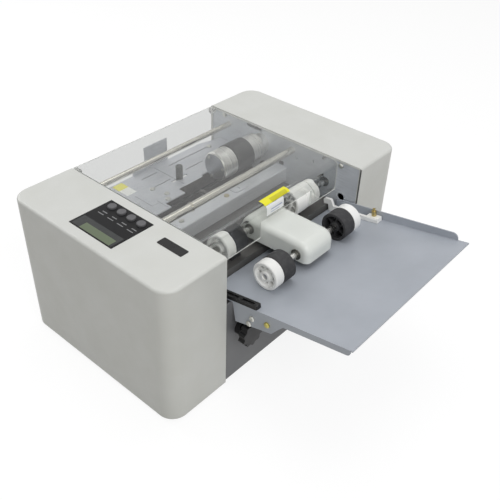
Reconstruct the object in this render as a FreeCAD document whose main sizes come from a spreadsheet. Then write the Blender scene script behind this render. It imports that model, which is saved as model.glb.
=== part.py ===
import FreeCAD, Part
import math
import os
import Sketcher

# Desk-top business card cutter: two painted housings carry a steel frame between them. A sloping
# tray feeds sheets under a pick-up arm with rubber rollers, round blades slit them lengthwise and
# a guillotine blade cuts them across. X runs across the machine, the feed side faces -Y, Z is up.
# The origin is on the desk under the centre of the whole machine.

DIMENSIONS = (
    # housings and frame
    ("housing_width", 89.0), ("housing_depth", 268.0), ("housing_height", 194.0),
    ("opening_width", 254.0), ("housing_wall", 3.0), ("front_corner", 21.0),
    ("rear_corner", 22.0), ("top_edge", 3.5), ("foot_height", 5.0),
    ("foot_radius", 9.0), ("foot_inset", 32.0), ("plate_thickness", 2.0), ("plate_set", 1.0),
    ("fit_gap", 0.3), ("run_gap", 0.06), ("sheet_metal", 1.5), ("base_height", 8.0),
    ("ramp_start", 40.0), ("ramp_run", 50.0), ("ramp_rise", 40.0), ("ramp_lip", 12.0),
    ("apron_lip", 14.0), ("screw_radius", 2.0), ("screw_head", 3.6), ("screw_dome", 2.2),
    # paper path
    ("tray_reach", 160.0), ("tray_tilt", 10.68), ("tray_rise", 9.7), ("tray_rear", -98.0),
    ("tray_left_gap", 8.0), ("tray_right_gap", 1.0), ("flange_drop", 8.0), ("bracket_drop", 28.0),
    ("bracket_reach", 54.0), ("wall_rise", 13.0), ("wall_tip", 9.0), ("gate_rise", 9.0),
    ("gate_drop", 14.0), ("guide_flat", 32.3), ("guide_drop", 4.0), ("strip_start", 14.0),
    ("strip_length", 60.0), ("strip_width", 9.0), ("strip_height", 4.5), ("strip_margin", 6.0),
    ("strip_slot", 18.0), ("fence_inset", 14.0), ("fence_thickness", 4.0), ("fence_reach", 80.0),
    ("fence_step", 8.0), ("fence_foot", 6.0), ("fence_foot_length", 18.0), ("fence_hook", 4.0),
    ("knurl_height", 7.0), ("knurl_radius", 3.2),
    # pick-up rollers and arm
    ("feed_axis_offset", -77.5), ("feed_rise", 33.2), ("arm_reach", 73.5),
    ("roller_inner", 49.0), ("tyre_width", 20.0), ("tyre_radius", 18.3), ("tyre_wall", 3.5),
    ("wheel_width", 14.0), ("wheel_step", 0.5), ("wheel_rim", 3.6), ("wheel_hub", 6.2),
    ("web_hole", 2.2), ("drum_groove", 2.0), ("drum_length", 11.0), ("core_depth", 12.0),
    ("bushing_wall", 2.0), ("bushing_lip", 1.0),
    ("shaft_radius", 4.0), ("shaft_key", 2.9), ("arm_width", 52.0), ("arm_rear_radius", 14.5),
    ("arm_front_radius", 17.0), ("arm_wall", 2.5), ("arm_rim", 8.0), ("arm_floor", 1.5),
    ("belt_width", 8.0), ("belt_thickness", 1.2), ("belt_pulley", 6.0),
    # slitter
    ("slit_offset", 27.7), ("gear_module", 1.0), ("slit_teeth", 26.0), ("motor_teeth", 44.0),
    ("gear_width", 8.0), ("gear_gap", 2.0), ("gear_lean", 76.27), ("blade_overlap", 0.8),
    ("blade_thickness", 3.0), ("card_width", 91.0), ("blade_gap", 0.1), ("slit_shaft", 5.0),
    # motor
    ("motor_boss", 13.0), ("cap_length", 25.0), ("can_length", 34.0), ("gearbox_length", 24.0),
    ("cap_radius", 20.5), ("can_radius", 21.5), ("gearbox_radius", 19.0), ("motor_pulley", 10.0),
    ("feed_pulley", 14.0),
    # beams, deck, blades across
    ("front_rod_offset", -20.0), ("front_rod_drop", 18.0), ("front_rod_radius", 5.0),
    ("rear_rod_inset", 36.0), ("rear_rod_drop", 20.0), ("rear_rod_radius", 4.0),
    ("clip_x", -69.0), ("clip_rise", 1.6), ("clip_thickness", 1.2),
    ("beam_depth", 26.5), ("beam_rise", 26.0), ("beam_height", 21.0), ("beam_gap", 1.05),
    ("deck_gap", 14.4), ("deck_inset", 9.5), ("deck_flange", 10.0), ("tab_reach", 3.5),
    ("tab_height", 32.5), ("lip_height", 6.5), ("tongue_right", -17.0), ("tongue_reach", 12.5),
    ("wing_right", -53.0), ("wing_left", -86.0), ("wing_reach", 24.0), ("seam_width", 0.8),
    ("seam_depth", 0.7), ("cut_inset", 6.5), ("cut_clear", 2.0), ("counter_depth", 24.0),
    ("guillotine_thickness", 3.0), ("guillotine_rise", 0.5), ("guillotine_travel", 10.0),
    # cover
    ("cover_thickness", 2.5), ("cover_side_gap", 2.5), ("cover_drop", 1.0), ("flap_gap", 0.7),
    ("cover_bend", 8.0), ("flap_depth", 43.0), ("notch_left", -29.5), ("notch_right", 70.0),
    ("notch_drop", 20.0), ("hinge_inset", 7.0), ("hinge_pin", 2.0), ("knuckle_radius", 5.0),
    ("knuckle_length", 5.0), ("rest_back", 0.5),
    # control panel
    ("bezel_width", 61.0), ("bezel_depth", 73.0), ("bezel_thickness", 1.6), ("bezel_x", 170.5),
    ("bezel_y", 2.5), ("bezel_proud", 0.4), ("button_radius", 5.45), ("button_pitch", 16.7),
    ("button_x", 149.3), ("button_y", 26.4), ("button_rise", 2.4), ("button_travel", 1.2),
    ("window_width", 19.0), ("window_depth", 68.0), ("window_x", 190.0),
    ("window_thickness", 1.0), ("button_flange", 6.6), ("well_ledge", 2.0),
    # skew knob, deck stop and power entry
    ("knob_inset", 24.0), ("knob_drop", 49.7), ("knob_stem", 4.0), ("knob_radius", 15.0),
    ("knob_lobe", 3.2), ("knob_gap", 12.0), ("knob_length", 9.0), ("knob_collar", 10.0),
    ("stop_x", 3.0), ("stop_offset", 75.0), ("stop_travel", 12.0), ("stop_stem", 1.8),
    ("stop_radius", 4.85), ("stop_height", 20.0),
    ("inlet_offset", 40.0), ("inlet_z", 62.0), ("inlet_width", 28.0), ("inlet_height", 60.0),
    ("inlet_depth", 18.0), ("rocker_width", 20.0), ("rocker_height", 13.0), ("rocker_tilt", 8.0),
)


class Size:
    """A length that keeps its value together with the sheet formula it comes from."""

    def __init__(self, value, formula):
        self.value = value
        self.formula = formula

    def joined(self, other, sign, value):
        return Size(value, "(%s %s %s)" % (self.formula, sign, formula_of(other)))

    def __add__(self, other):
        return self.joined(other, "+", self.value + value_of(other))

    def __sub__(self, other):
        return self.joined(other, "-", self.value - value_of(other))

    def __mul__(self, other):
        return self.joined(other, "*", self.value * value_of(other))

    def __truediv__(self, other):
        return self.joined(other, "/", self.value / value_of(other))

    def __neg__(self):
        return Size(-self.value, "(0 - %s)" % self.formula)

    def __radd__(self, other):
        return self + other

    def __rmul__(self, other):
        return self * other

    def __rsub__(self, other):
        return Size(other - self.value, "(%r - %s)" % (other, self.formula))


def value_of(size):
    return size.value if isinstance(size, Size) else float(size)


def formula_of(size):
    return size.formula if isinstance(size, Size) else repr(float(size))


def tangent(angle):
    return Size(math.tan(math.radians(angle.value)), "tan(%s * 1 deg)" % angle.formula)


def cosine(angle):
    return Size(math.cos(math.radians(angle.value)), "cos(%s * 1 deg)" % angle.formula)


def sine(angle):
    return Size(math.sin(math.radians(angle.value)), "sin(%s * 1 deg)" % angle.formula)


doc = FreeCAD.newDocument("CardCutter")
sheet = doc.addObject("Spreadsheet::Sheet", "Sizes")


class Book:
    """The driving dimensions by name."""


S = Book()
for line, (alias, number) in enumerate(DIMENSIONS, 1):
    sheet.set("A%d" % line, alias)
    sheet.set("B%d" % line, repr(number))
    sheet.setAlias("B%d" % line, alias)
    setattr(S, alias, Size(number, "Sizes." + alias))
doc.recompute()

NODES = []
X, Y, Z = "X", "Y", "Z"
TURNS = {
    X: FreeCAD.Rotation(FreeCAD.Vector(0, 1, 0), 90),
    Y: FreeCAD.Rotation(FreeCAD.Vector(1, 0, 0), -90),
    Z: FreeCAD.Rotation(),
}


# ---------------------------------------------------------------- helpers: placing and primitives

def bind(thing, name, size):
    """Set a property to a size and tie it to the sheet."""
    if isinstance(size, Size):
        thing.setExpression(name, size.formula)
    else:
        setattr(thing, name, size)


def place(thing, x=0.0, y=0.0, z=0.0, turn=None):
    base = FreeCAD.Vector(value_of(x), value_of(y), value_of(z))
    thing.Placement = FreeCAD.Placement(base, turn or FreeCAD.Rotation())
    for axis, size in (("x", x), ("y", y), ("z", z)):
        if isinstance(size, Size):
            thing.setExpression("Placement.Base." + axis, size.formula)
    return thing


def rod(radius, length, x=0.0, y=0.0, z=0.0, along=Z):
    """A round bar that starts at a point and runs along one axis."""
    thing = doc.addObject("Part::Cylinder", "Rod")
    bind(thing, "Radius", radius)
    bind(thing, "Height", length)
    return place(thing, x, y, z, TURNS[along])


def block(dx, dy, dz, x=0.0, y=0.0, z=0.0):
    """A bar with square corners from its lowest corner."""
    thing = doc.addObject("Part::Box", "Block")
    bind(thing, "Length", dx)
    bind(thing, "Width", dy)
    bind(thing, "Height", dz)
    return place(thing, x, y, z)


def joined(*things):
    if len(things) == 1:
        return things[0]
    thing = doc.addObject("Part::MultiFuse", "Joined")
    thing.Shapes = list(things)
    return thing


def cut(base, *tools):
    thing = doc.addObject("Part::Cut", "Cut")
    thing.Base = base
    thing.Tool = joined(*tools)
    return thing


def group(*things):
    thing = doc.addObject("Part::Compound", "Group")
    thing.Links = list(things)
    return thing


def node(label, thing):
    """Name a finished sub-part."""
    thing.Label = label
    NODES.append(thing)
    return thing


# ------------------------------------------------------------------- helpers: bodies and sketches

def new_body():
    return doc.addObject("PartDesign::Body", "Body")


def sketch_on(body, role, offset=0.0):
    """A sketch on one of the body's own origin planes, moved along that plane's normal."""
    plane = [item for item in body.Origin.OriginFeatures if item.Role == role][0]
    sketch = body.newObject("Sketcher::SketchObject", "Sketch")
    sketch.AttachmentSupport = [(plane, "")]
    sketch.MapMode = "FlatFace"
    sketch.AttachmentOffset = FreeCAD.Placement(
        FreeCAD.Vector(0, 0, value_of(offset)), FreeCAD.Rotation())
    if isinstance(offset, Size):
        sketch.setExpression("AttachmentOffset.Base.z", offset.formula)
    return sketch


def hold(sketch, kind, index, point, size):
    """Hold a point of the sketch at a distance from the origin along one axis."""
    number = sketch.addConstraint(
        Sketcher.Constraint(kind, -1, 1, index, point, value_of(size)))
    if isinstance(size, Size):
        sketch.setExpression("Constraints[%d]" % number, size.formula)


def outline(sketch, points):
    """A closed outline of straight sides, each corner held by its two distances."""
    first = sketch.GeometryCount
    count = len(points)
    corners = [FreeCAD.Vector(value_of(u), value_of(v), 0) for u, v in points]
    for i in range(count):
        sketch.addGeometry(Part.LineSegment(corners[i], corners[(i + 1) % count]))
    for i in range(count):
        sketch.addConstraint(
            Sketcher.Constraint("Coincident", first + i, 2, first + (i + 1) % count, 1))
    for i, (u, v) in enumerate(points):
        hold(sketch, "DistanceX", first + i, 1, u)
        hold(sketch, "DistanceY", first + i, 1, v)


def circle(sketch, u, v, radius):
    middle = FreeCAD.Vector(value_of(u), value_of(v), 0)
    index = sketch.addGeometry(Part.Circle(middle, FreeCAD.Vector(0, 0, 1), value_of(radius)))
    number = sketch.addConstraint(Sketcher.Constraint("Radius", index, value_of(radius)))
    if isinstance(radius, Size):
        sketch.setExpression("Constraints[%d]" % number, radius.formula)
    hold(sketch, "DistanceX", index, 3, u)
    hold(sketch, "DistanceY", index, 3, v)


def rectangle(sketch, u0, u1, v0, v1):
    outline(sketch, ((u0, v0), (u1, v0), (u1, v1), (u0, v1)))


def pad(body, sketch, length, midplane=False, back=False):
    feature = body.newObject("PartDesign::Pad", "Pad")
    feature.Profile = sketch
    bind(feature, "Length", length)
    feature.SideType = "Symmetric" if midplane else "One side"
    feature.Reversed = back
    doc.recompute()
    return feature


def pocket(body, sketch, length=None, back=False, midplane=False):
    feature = body.newObject("PartDesign::Pocket", "Pocket")
    feature.Profile = sketch
    if length is None:
        feature.Type = "ThroughAll"
    else:
        bind(feature, "Length", length)
    feature.Reversed = back
    if midplane:
        feature.SideType = "Symmetric"
    doc.recompute()
    return feature


def revolve(body, sketch, axis="H_Axis"):
    feature = body.newObject("PartDesign::Revolution", "Revolution")
    feature.Profile = sketch
    feature.ReferenceAxis = (sketch, [axis])
    feature.Angle = 360
    doc.recompute()
    return feature


def ring_pattern(body, feature, role, count):
    """Repeat a feature evenly round one of the body's own axes."""
    axis = [item for item in body.Origin.OriginFeatures if item.Role == role][0]
    pattern = body.newObject("PartDesign::PolarPattern", "Pattern")
    pattern.Originals = [feature]
    pattern.Axis = (axis, [""])
    pattern.Angle = 360
    pattern.Occurrences = count
    body.Tip = pattern
    doc.recompute()
    return pattern


def edges_where(shape, test):
    """Names of the straight or curved edges whose two end points pass a test."""
    names = []
    for number, edge in enumerate(shape.Edges, 1):
        ends = [vertex.Point for vertex in edge.Vertexes]
        if test(edge, ends):
            names.append("Edge%d" % number)
    return names


def runs_along(ends, axis):
    """True for an edge that runs along one axis."""
    if len(ends) != 2:
        return False
    step = ends[1] - ends[0]
    other = [abs(value) for name, value in zip((X, Y, Z), step) if name != axis]
    return max(other) < 0.01


def fillet(body, radius, test):
    base = body.Tip
    names = edges_where(base.Shape, test)
    feature = body.newObject("PartDesign::Fillet", "Fillet")
    feature.Base = (base, names)
    bind(feature, "Radius", radius)
    doc.recompute()
    return feature


def near(first, second):
    return abs(first - value_of(second)) < 0.05


# -------------------------------------------------------------------------------- shared places

middle = S.tray_reach / 2
front_y = middle - S.housing_depth / 2
rear_y = middle + S.housing_depth / 2
inner_x = S.opening_width / 2
outer_x = inner_x + S.housing_width
plate_x = inner_x + S.plate_set
housing_top = S.foot_height + S.housing_height
slope = tangent(S.tray_tilt)
upright = cosine(S.tray_tilt)

# drive: the motor gear sits under the housing's roof, the slitter gear meshes with it from below
slit_pitch = S.gear_module * S.slit_teeth / 2
motor_pitch = S.gear_module * S.motor_teeth / 2
gear_reach = slit_pitch + motor_pitch
motor_rise = gear_reach * sine(S.gear_lean)
motor_z = housing_top - S.housing_wall - S.gear_gap - motor_pitch - S.gear_module
slit_y = middle + S.slit_offset
motor_y = slit_y + gear_reach * cosine(S.gear_lean)
slit_z = motor_z - motor_rise
slit_low = slit_z - slit_pitch * 2
nip_z = slit_z - slit_pitch
blade_radius = slit_pitch + S.blade_overlap / 2
gear_x = plate_x + S.plate_thickness + 2
belt_x = gear_x + S.gear_width + 2
motor_left = plate_x - S.motor_boss - S.gearbox_length - S.can_length - S.cap_length

# paper path: tray, rollers, beam and deck take their heights from the slitter's nip
tray_level = nip_z + S.tray_rise
tray_left = inner_x - S.tray_left_gap
tray_right = inner_x - S.tray_right_gap
feed_y = middle + S.feed_axis_offset
feed_z = nip_z + S.feed_rise
wheel_radius = S.tyre_radius - S.wheel_step
beam_top = nip_z + S.beam_rise
beam_y1 = slit_y - blade_radius - S.beam_gap
beam_y0 = beam_y1 - S.beam_depth
deck_top = beam_top
deck_y0 = slit_y + blade_radius + S.deck_gap
deck_y1 = rear_y - S.deck_inset
cut_y = deck_y0 + S.cut_inset
cut_z = nip_z + S.guillotine_rise
cut_top = deck_top - S.sheet_metal - S.cut_clear
front_rod_y = middle + S.front_rod_offset
front_rod_z = housing_top - S.front_rod_drop
rear_rod_y = rear_y - S.rear_rod_inset
rear_rod_z = housing_top - S.rear_rod_drop
cover_top = housing_top - S.cover_drop
flap_bottom = cover_top - S.flap_depth
hinge_y = rear_y - S.hinge_inset
hinge_z = cover_top - S.knuckle_radius
rest_y = feed_y + S.rest_back
rest_z = cover_top - S.cover_thickness - S.hinge_pin - S.fit_gap
knob_x = inner_x - S.knob_inset
knob_z = tray_level - S.knob_drop


def tray_z(y):
    """Height of the tray floor's upper face at a place along Y."""
    return tray_level - (y - front_y) * slope


front_axis_y = feed_y - S.arm_reach
front_axis_z = tray_z(front_axis_y) + (S.tyre_radius + S.fit_gap) / upright


# -------------------------------------------------------------------------------- the housings

def housing_block(side, inset, edge_radius):
    """Housing form drawn in by an inset: rounded upright corners and a finer top edge."""
    near_x = inner_x * side
    far_x = (outer_x - inset) * side
    low_y = front_y + inset
    high_y = rear_y - inset
    top_z = housing_top - inset
    body = new_body()
    sketch = sketch_on(body, "XY_Plane", S.foot_height + inset)
    rectangle(sketch, near_x, far_x, low_y, high_y)
    pad(body, sketch, S.housing_height - inset * 2)
    for corner_y, radius in ((low_y, S.front_corner - inset), (high_y, S.rear_corner - inset)):
        fillet(body, radius, lambda edge, ends: runs_along(ends, Z)
               and near(ends[0].x, far_x) and near(ends[0].y, corner_y))
    fillet(body, edge_radius, lambda edge, ends: near(edge.BoundBox.ZMin, top_z)
           and not (runs_along(ends, Y) and near(ends[0].x, near_x)))
    return body


def make_housing(side, *tools):
    """Moulded side housing: open towards the machine, closed below, opened by the tools."""
    return cut(housing_block(side, 0.0, S.top_edge), housing_block(side, S.housing_wall, 0.5),
               *tools)


bezel_x0 = -S.bezel_x - S.bezel_width / 2
bezel_y0 = middle + S.bezel_y - S.bezel_depth / 2
bezel_z0 = housing_top + S.bezel_proud - S.bezel_thickness
BUTTONS = ("feed_button", "up_button", "down_button", "stop_button")


def button_y(number):
    return middle + S.button_y - S.button_pitch * number


recess = block(S.bezel_width + S.fit_gap * 2, S.bezel_depth + S.fit_gap * 2, S.bezel_thickness,
               bezel_x0 - S.fit_gap, bezel_y0 - S.fit_gap, bezel_z0)
well = block(S.bezel_width - S.well_ledge * 2, S.bezel_depth - S.well_ledge * 2,
             S.housing_wall * 2, bezel_x0 + S.well_ledge, bezel_y0 + S.well_ledge,
             housing_top - S.housing_wall * 2)
node("left_housing", make_housing(-1, recess, well))

inlet_x = inner_x + S.inlet_offset
entry = block(S.inlet_width, S.housing_wall * 4, S.inlet_height, inlet_x - S.inlet_width / 2,
              rear_y - S.housing_wall * 2, S.inlet_z - S.inlet_height / 2)
node("right_housing", make_housing(1, entry))


# ------------------------------------------------------------------------- frame between housings

feed_seat = S.shaft_radius + S.bushing_wall
slit_seat = S.slit_shaft + S.bushing_wall
plate_y0 = front_y + S.housing_wall + S.fit_gap
plate_y1 = rear_y - S.housing_wall - S.fit_gap
plate_z0 = S.foot_height + S.housing_wall + S.fit_gap
plate_z1 = housing_top - S.housing_wall - S.fit_gap
screw_hole = S.screw_radius + 0.05
cut_low = cut_z - S.guillotine_travel
PLATE_SCREWS = ((107.0, housing_top - 8.5), (-102.5, housing_top - 8.0),
                (75.0, plate_z0 + 48.7), (-60.0, plate_z0 + 18.7))


def make_side_plate(side):
    """Steel plate inside the housing's open side, pierced for every shaft and bar."""
    body = new_body()
    sketch = sketch_on(body, "YZ_Plane", plate_x * side)
    rectangle(sketch, plate_y0, plate_y1, plate_z0, plate_z1)
    pad(body, sketch, S.plate_thickness, back=side < 0)
    fillet(body, 2.0, lambda edge, ends: runs_along(ends, X))
    holes = sketch_on(body, "YZ_Plane", plate_x * side)
    for y, z, seat in ((feed_y, feed_z, feed_seat), (slit_y, slit_z, slit_seat),
                       (slit_y, slit_low, slit_seat)):
        circle(holes, y, z, seat)
    for y, z in ((front_rod_y, front_rod_z), (rear_rod_y, rear_rod_z)):
        circle(holes, y, z, screw_hole)
    for y, z in ((hinge_y, hinge_z), (rest_y, rest_z)):
        circle(holes, y, z, S.hinge_pin + 0.02)
    for y, z in PLATE_SCREWS:
        circle(holes, middle + y, z, screw_hole)
    circle(holes, feed_y - 29.5, nip_z + 20.5, 5.5)
    circle(holes, middle - 30, housing_top - 27, 1.4)
    rectangle(holes, middle - 59, middle - 57, housing_top - 23.5, housing_top - 18.5)
    if side > 0:
        circle(holes, motor_y, motor_z, S.shaft_radius + 2)
        rectangle(holes, motor_y, motor_y + 28, housing_top - 10.5, plate_z1 + 1)
    rectangle(holes, cut_y - S.fit_gap, cut_y + S.guillotine_thickness + S.fit_gap,
              cut_low - 1, cut_top + 1)
    pocket(body, holes, S.plate_thickness * 3, back=True, midplane=True)
    return body


node("left_side_plate", make_side_plate(-1))
node("right_side_plate", make_side_plate(1))

# floor pan: bent up at the rear as the ramp on which cut cards slide out
pan = new_body()
section = sketch_on(pan, "YZ_Plane")
pan_y0 = plate_y0 + 4
pan_y1 = plate_y1 - 2
pan_top = S.base_height + S.sheet_metal
ramp_foot = middle + S.ramp_start
ramp_end = ramp_foot + S.ramp_run
ramp_top = S.base_height + S.ramp_rise
ramp_skin = S.sheet_metal * 2 / 3
outline(section, (
    (pan_y0, S.base_height), (pan_y1, S.base_height), (pan_y1, pan_top), (ramp_end, pan_top),
    (ramp_foot, ramp_top), (ramp_foot - S.ramp_lip, ramp_top),
    (ramp_foot - S.ramp_lip, ramp_top - S.sheet_metal),
    (ramp_foot - ramp_skin, ramp_top - S.sheet_metal), (ramp_end - ramp_skin, pan_top),
    (pan_y0, pan_top)))
pad(pan, section, plate_x * 2, midplane=True)
node("base_plate", pan)

# grey panel under the tray: its foot is bent back onto the floor pan, the skew knob's stem
# passes through it
apron_top = tray_z(front_y + S.sheet_metal) - S.sheet_metal / upright - S.fit_gap
apron = new_body()
section = sketch_on(apron, "YZ_Plane")
outline(section, (
    (front_y, pan_top), (front_y + S.apron_lip, pan_top),
    (front_y + S.apron_lip, pan_top + S.sheet_metal),
    (front_y + S.sheet_metal, pan_top + S.sheet_metal), (front_y + S.sheet_metal, apron_top),
    (front_y, apron_top)))
pad(apron, section, (inner_x - S.fit_gap) * 2, midplane=True)
hole = sketch_on(apron, "XZ_Plane", -front_y)
circle(hole, -knob_x, knob_z, S.knob_stem + S.run_gap)
pocket(apron, hole, S.sheet_metal * 4, midplane=True)
node("front_lower_panel", apron)

front_bar = rod(S.front_rod_radius, plate_x * 2, -plate_x, front_rod_y, front_rod_z, X)
clip = rod(S.front_rod_radius + S.clip_rise, S.clip_thickness, S.clip_x, front_rod_y, front_rod_z, X)
node("front_tie_rod", joined(front_bar, clip))
node("rear_tie_rod", rod(S.rear_rod_radius, plate_x * 2, -plate_x, rear_rod_y, rear_rod_z, X))

BRACKET_SCREW = (34.0, 4.75)
BEAM_SCREWS = ((-67.0, 14.25), (15.0, 15.25), BRACKET_SCREW)
beam_low = beam_top - S.beam_height
beam_skin = beam_top - S.sheet_metal
beam = new_body()
section = sketch_on(beam, "YZ_Plane")
outline(section, (
    (beam_y0, beam_low), (beam_y0 + S.sheet_metal, beam_low),
    (beam_y0 + S.sheet_metal, beam_skin), (beam_y1 - S.sheet_metal, beam_skin),
    (beam_y1 - S.sheet_metal, beam_low), (beam_y1, beam_low), (beam_y1, beam_top),
    (beam_y0, beam_top)))
pad(beam, section, plate_x * 2, midplane=True)
fillet(beam, S.sheet_metal, lambda edge, ends: runs_along(ends, X)
       and near(ends[0].z, beam_top))
holes = sketch_on(beam, "XY_Plane", beam_top)
for x, back in BEAM_SCREWS:
    circle(holes, x, beam_y1 - back, screw_hole)
pocket(beam, holes, S.sheet_metal * 2)
node("cross_beam", beam)

# slotted bracket lying on the beam
bracket_x0 = 28.0
bracket_x1 = 56.0
bracket_y0 = beam_y1 - 21.25
bracket = new_body()
face = sketch_on(bracket, "XY_Plane", beam_top)
rectangle(face, bracket_x0, bracket_x1, bracket_y0, beam_y1)
pad(bracket, face, S.sheet_metal)
fillet(bracket, 6.0, lambda edge, ends: runs_along(ends, Z) and near(ends[0].y, bracket_y0))
slot = sketch_on(bracket, "XY_Plane", beam_top + S.sheet_metal)
rectangle(slot, bracket_x0 + 16, bracket_x1 + 1, beam_y1 - 7.25, beam_y1 - 4.85)
circle(slot, bracket_x0 + 10, beam_y1 - 15.25, 2.6)
circle(slot, BRACKET_SCREW[0], beam_y1 - BRACKET_SCREW[1], screw_hole)
pocket(bracket, slot, S.sheet_metal * 2)
node("beam_bracket", bracket)

# deck over the cutting section: slots, a notch round the motor, a tongue and a wing over the front
# gap, a low lip and a tall tab behind, and seams where the sheets of the deck meet
DECK_SCREWS = ((-42.0, 80.0), (-36.0, 58.5), (-44.0, 48.0), (95.0, 108.0))
stop_y = middle + S.stop_offset
stop_half = S.stop_stem + 0.2
stop_reach = S.stop_travel + stop_half
deck_skin = deck_top - S.sheet_metal
deck_low = deck_top - S.deck_flange
deck = new_body()
section = sketch_on(deck, "YZ_Plane")
outline(section, (
    (deck_y0, deck_top), (deck_y0, deck_low), (deck_y0 + S.sheet_metal, deck_low),
    (deck_y0 + S.sheet_metal, deck_skin), (deck_y1 - S.sheet_metal, deck_skin),
    (deck_y1 - S.sheet_metal, deck_low), (deck_y1, deck_low), (deck_y1, deck_top)))
pad(deck, section, plate_x * 2, midplane=True)
tab_y = deck_y1 + S.tab_reach
tab = sketch_on(deck, "YZ_Plane", 8.0)
outline(tab, ((deck_y1 - S.sheet_metal, deck_skin), (tab_y, deck_skin),
              (tab_y, deck_top + S.tab_height), (tab_y - S.sheet_metal, deck_top + S.tab_height),
              (tab_y - S.sheet_metal, deck_top), (deck_y1 - S.sheet_metal, deck_top)))
pad(deck, tab, 42.0, midplane=True)
lip = sketch_on(deck, "XZ_Plane", -deck_y1)
rectangle(lip, -38.0, -15.0, deck_skin, deck_top + S.lip_height)
pad(deck, lip, S.sheet_metal)
wing_y = deck_y0 - S.wing_reach
tongue_y = deck_y0 - S.tongue_reach
front = sketch_on(deck, "XY_Plane", deck_skin)
outline(front, ((S.wing_left, deck_y0 + 1), (S.wing_left, wing_y), (S.wing_right, wing_y),
                (S.wing_right, tongue_y), (S.tongue_right, tongue_y),
                (S.tongue_right, deck_y0 + 1)))
pad(deck, front, S.sheet_metal)
seams = sketch_on(deck, "XY_Plane", deck_top)
seam_x = S.wing_right - 16
for x0, x1, y0, y1 in (
        (S.stop_x - 6, S.stop_x - 6 + S.seam_width, deck_y0 + 4, deck_y1 - 4),
        (seam_x - S.seam_width, seam_x, deck_y0 - 6, deck_y0 + 28),
        (seam_x + 1, S.wing_right - 5, deck_y0 - 6, deck_y0 - 6 + S.seam_width),
        (S.wing_right - 4, S.wing_right - 4 + S.seam_width, wing_y + 2, deck_y0)):
    rectangle(seams, x0, x1, y0, y1)
pocket(deck, seams, S.seam_depth)
openings = sketch_on(deck, "XY_Plane", deck_top)
rectangle(openings, 15.0, 95.0, middle + 108.5, middle + 110.5)
rectangle(openings, 24.0, 58.0, middle + 84.0, middle + 86.0)
rectangle(openings, -36.0, -9.0, middle + 107.5, middle + 109.5)
rectangle(openings, -37.0, -8.0, middle + 81.0, middle + 83.0)
rectangle(openings, S.stop_x - stop_reach, S.stop_x + stop_reach,
          stop_y - stop_half, stop_y + stop_half)
motor_clear = S.can_radius + 2
rectangle(openings, motor_left - 3, plate_x + 1, deck_y0 - 1, motor_y + motor_clear)
outline(openings, ((plate_x - 40, deck_y1 + 1), (plate_x + 1, deck_y1 - 10),
                   (plate_x + 1, deck_y1 + 1)))
for x, y in DECK_SCREWS:
    circle(openings, x, middle + y, screw_hole)
pocket(deck, openings, S.deck_flange * 2)
node("guide_deck", deck)

# motor with its gearbox against the right side plate
motor_x1 = motor_left + S.cap_length
motor_x2 = motor_x1 + S.can_length


def turned(points, x, y, z):
    """A piece turned about an axis along X: (place along the axis, radius) pairs."""
    body = new_body()
    sketch = sketch_on(body, "XY_Plane")
    outline(sketch, points)
    revolve(body, sketch)
    return place(body, x, y, z)


step = 1.2
cap_screw_circle = S.cap_radius - 5
cap_screws = [rod(2.0, 2.8, motor_left - 1.4,
                  motor_y + cap_screw_circle * math.cos(math.radians(angle)),
                  motor_z + cap_screw_circle * math.sin(math.radians(angle)), X)
              for angle in (50, 170, 290)]
cap = turned(((0, 0), (0, S.cap_radius - step * 2), (step, S.cap_radius - step * 2),
              (step, S.cap_radius - step), (step * 2, S.cap_radius),
              (S.cap_length, S.cap_radius), (S.cap_length, 0)),
             motor_left, motor_y, motor_z)
node("motor_end_cap", joined(cap, *cap_screws))
node("motor_can", turned(((0, 0), (0, S.can_radius - 1), (1, S.can_radius),
                          (S.can_length - 1, S.can_radius), (S.can_length, S.can_radius - 1),
                          (S.can_length, 0)), motor_x1, motor_y, motor_z))
boss = plate_x - motor_x2
motor_bore = S.shaft_radius + S.run_gap
motor_seat = 12.0
node("motor_gearbox", turned(((0, 0), (0, S.gearbox_radius), (S.gearbox_length - 1, S.gearbox_radius),
                              (S.gearbox_length, S.gearbox_radius - 1),
                              (S.gearbox_length, S.gearbox_radius - 4),
                              (boss, S.gearbox_radius - 4), (boss, motor_bore),
                              (boss - motor_seat, motor_bore), (boss - motor_seat, 0)),
                             motor_x2, motor_y, motor_z))


# ---------------------------------------------------------------------------------- sheet input

# tray: sloping floor, left flange turned down, right wall turned up; drawn in its own tilted frame
TILT = FreeCAD.Rotation(FreeCAD.Vector(-1, 0, 0), S.tray_tilt.value)
tray_start_y = middle + S.tray_rear
tray_length = (tray_start_y - front_y + S.tray_reach) / upright - S.sheet_metal * slope
tray_z0 = tray_z(tray_start_y)


def tilted(thing):
    """Lay a piece drawn along the tray (Y = 0 at the tray's rear edge) on the slope."""
    place(thing, 0.0, tray_start_y, tray_z0, TILT)
    thing.setExpression("Placement.Rotation.Angle", "Sizes.tray_tilt")
    return thing


tray = new_body()
floor = sketch_on(tray, "XY_Plane", -S.sheet_metal)
rectangle(floor, -tray_left, tray_right, -tray_length, 0.0)
pad(tray, floor, S.sheet_metal)
flange_end = -(tray_length - 3)
apron_reach = (tray_start_y - front_y) / upright + S.sheet_metal
bracket_end = -(apron_reach + S.bracket_reach)
flange = sketch_on(tray, "YZ_Plane", -tray_left)
outline(flange, (
    (-apron_reach, 0.0), (-apron_reach, -S.bracket_drop), (bracket_end, -S.bracket_drop * 0.85),
    (bracket_end - 9, -S.bracket_drop * 0.55), (bracket_end - 18, -S.flange_drop),
    (flange_end, -S.flange_drop), (flange_end, 0.0)))
pad(tray, flange, S.sheet_metal)
wall = sketch_on(tray, "YZ_Plane", tray_right)
outline(wall, ((-8.0, -S.sheet_metal), (-8.0, S.wall_rise), (-(tray_length - 14), S.wall_tip),
               (-(tray_length - 14), -S.sheet_metal)))
pad(tray, wall, S.sheet_metal, back=True)
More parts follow.
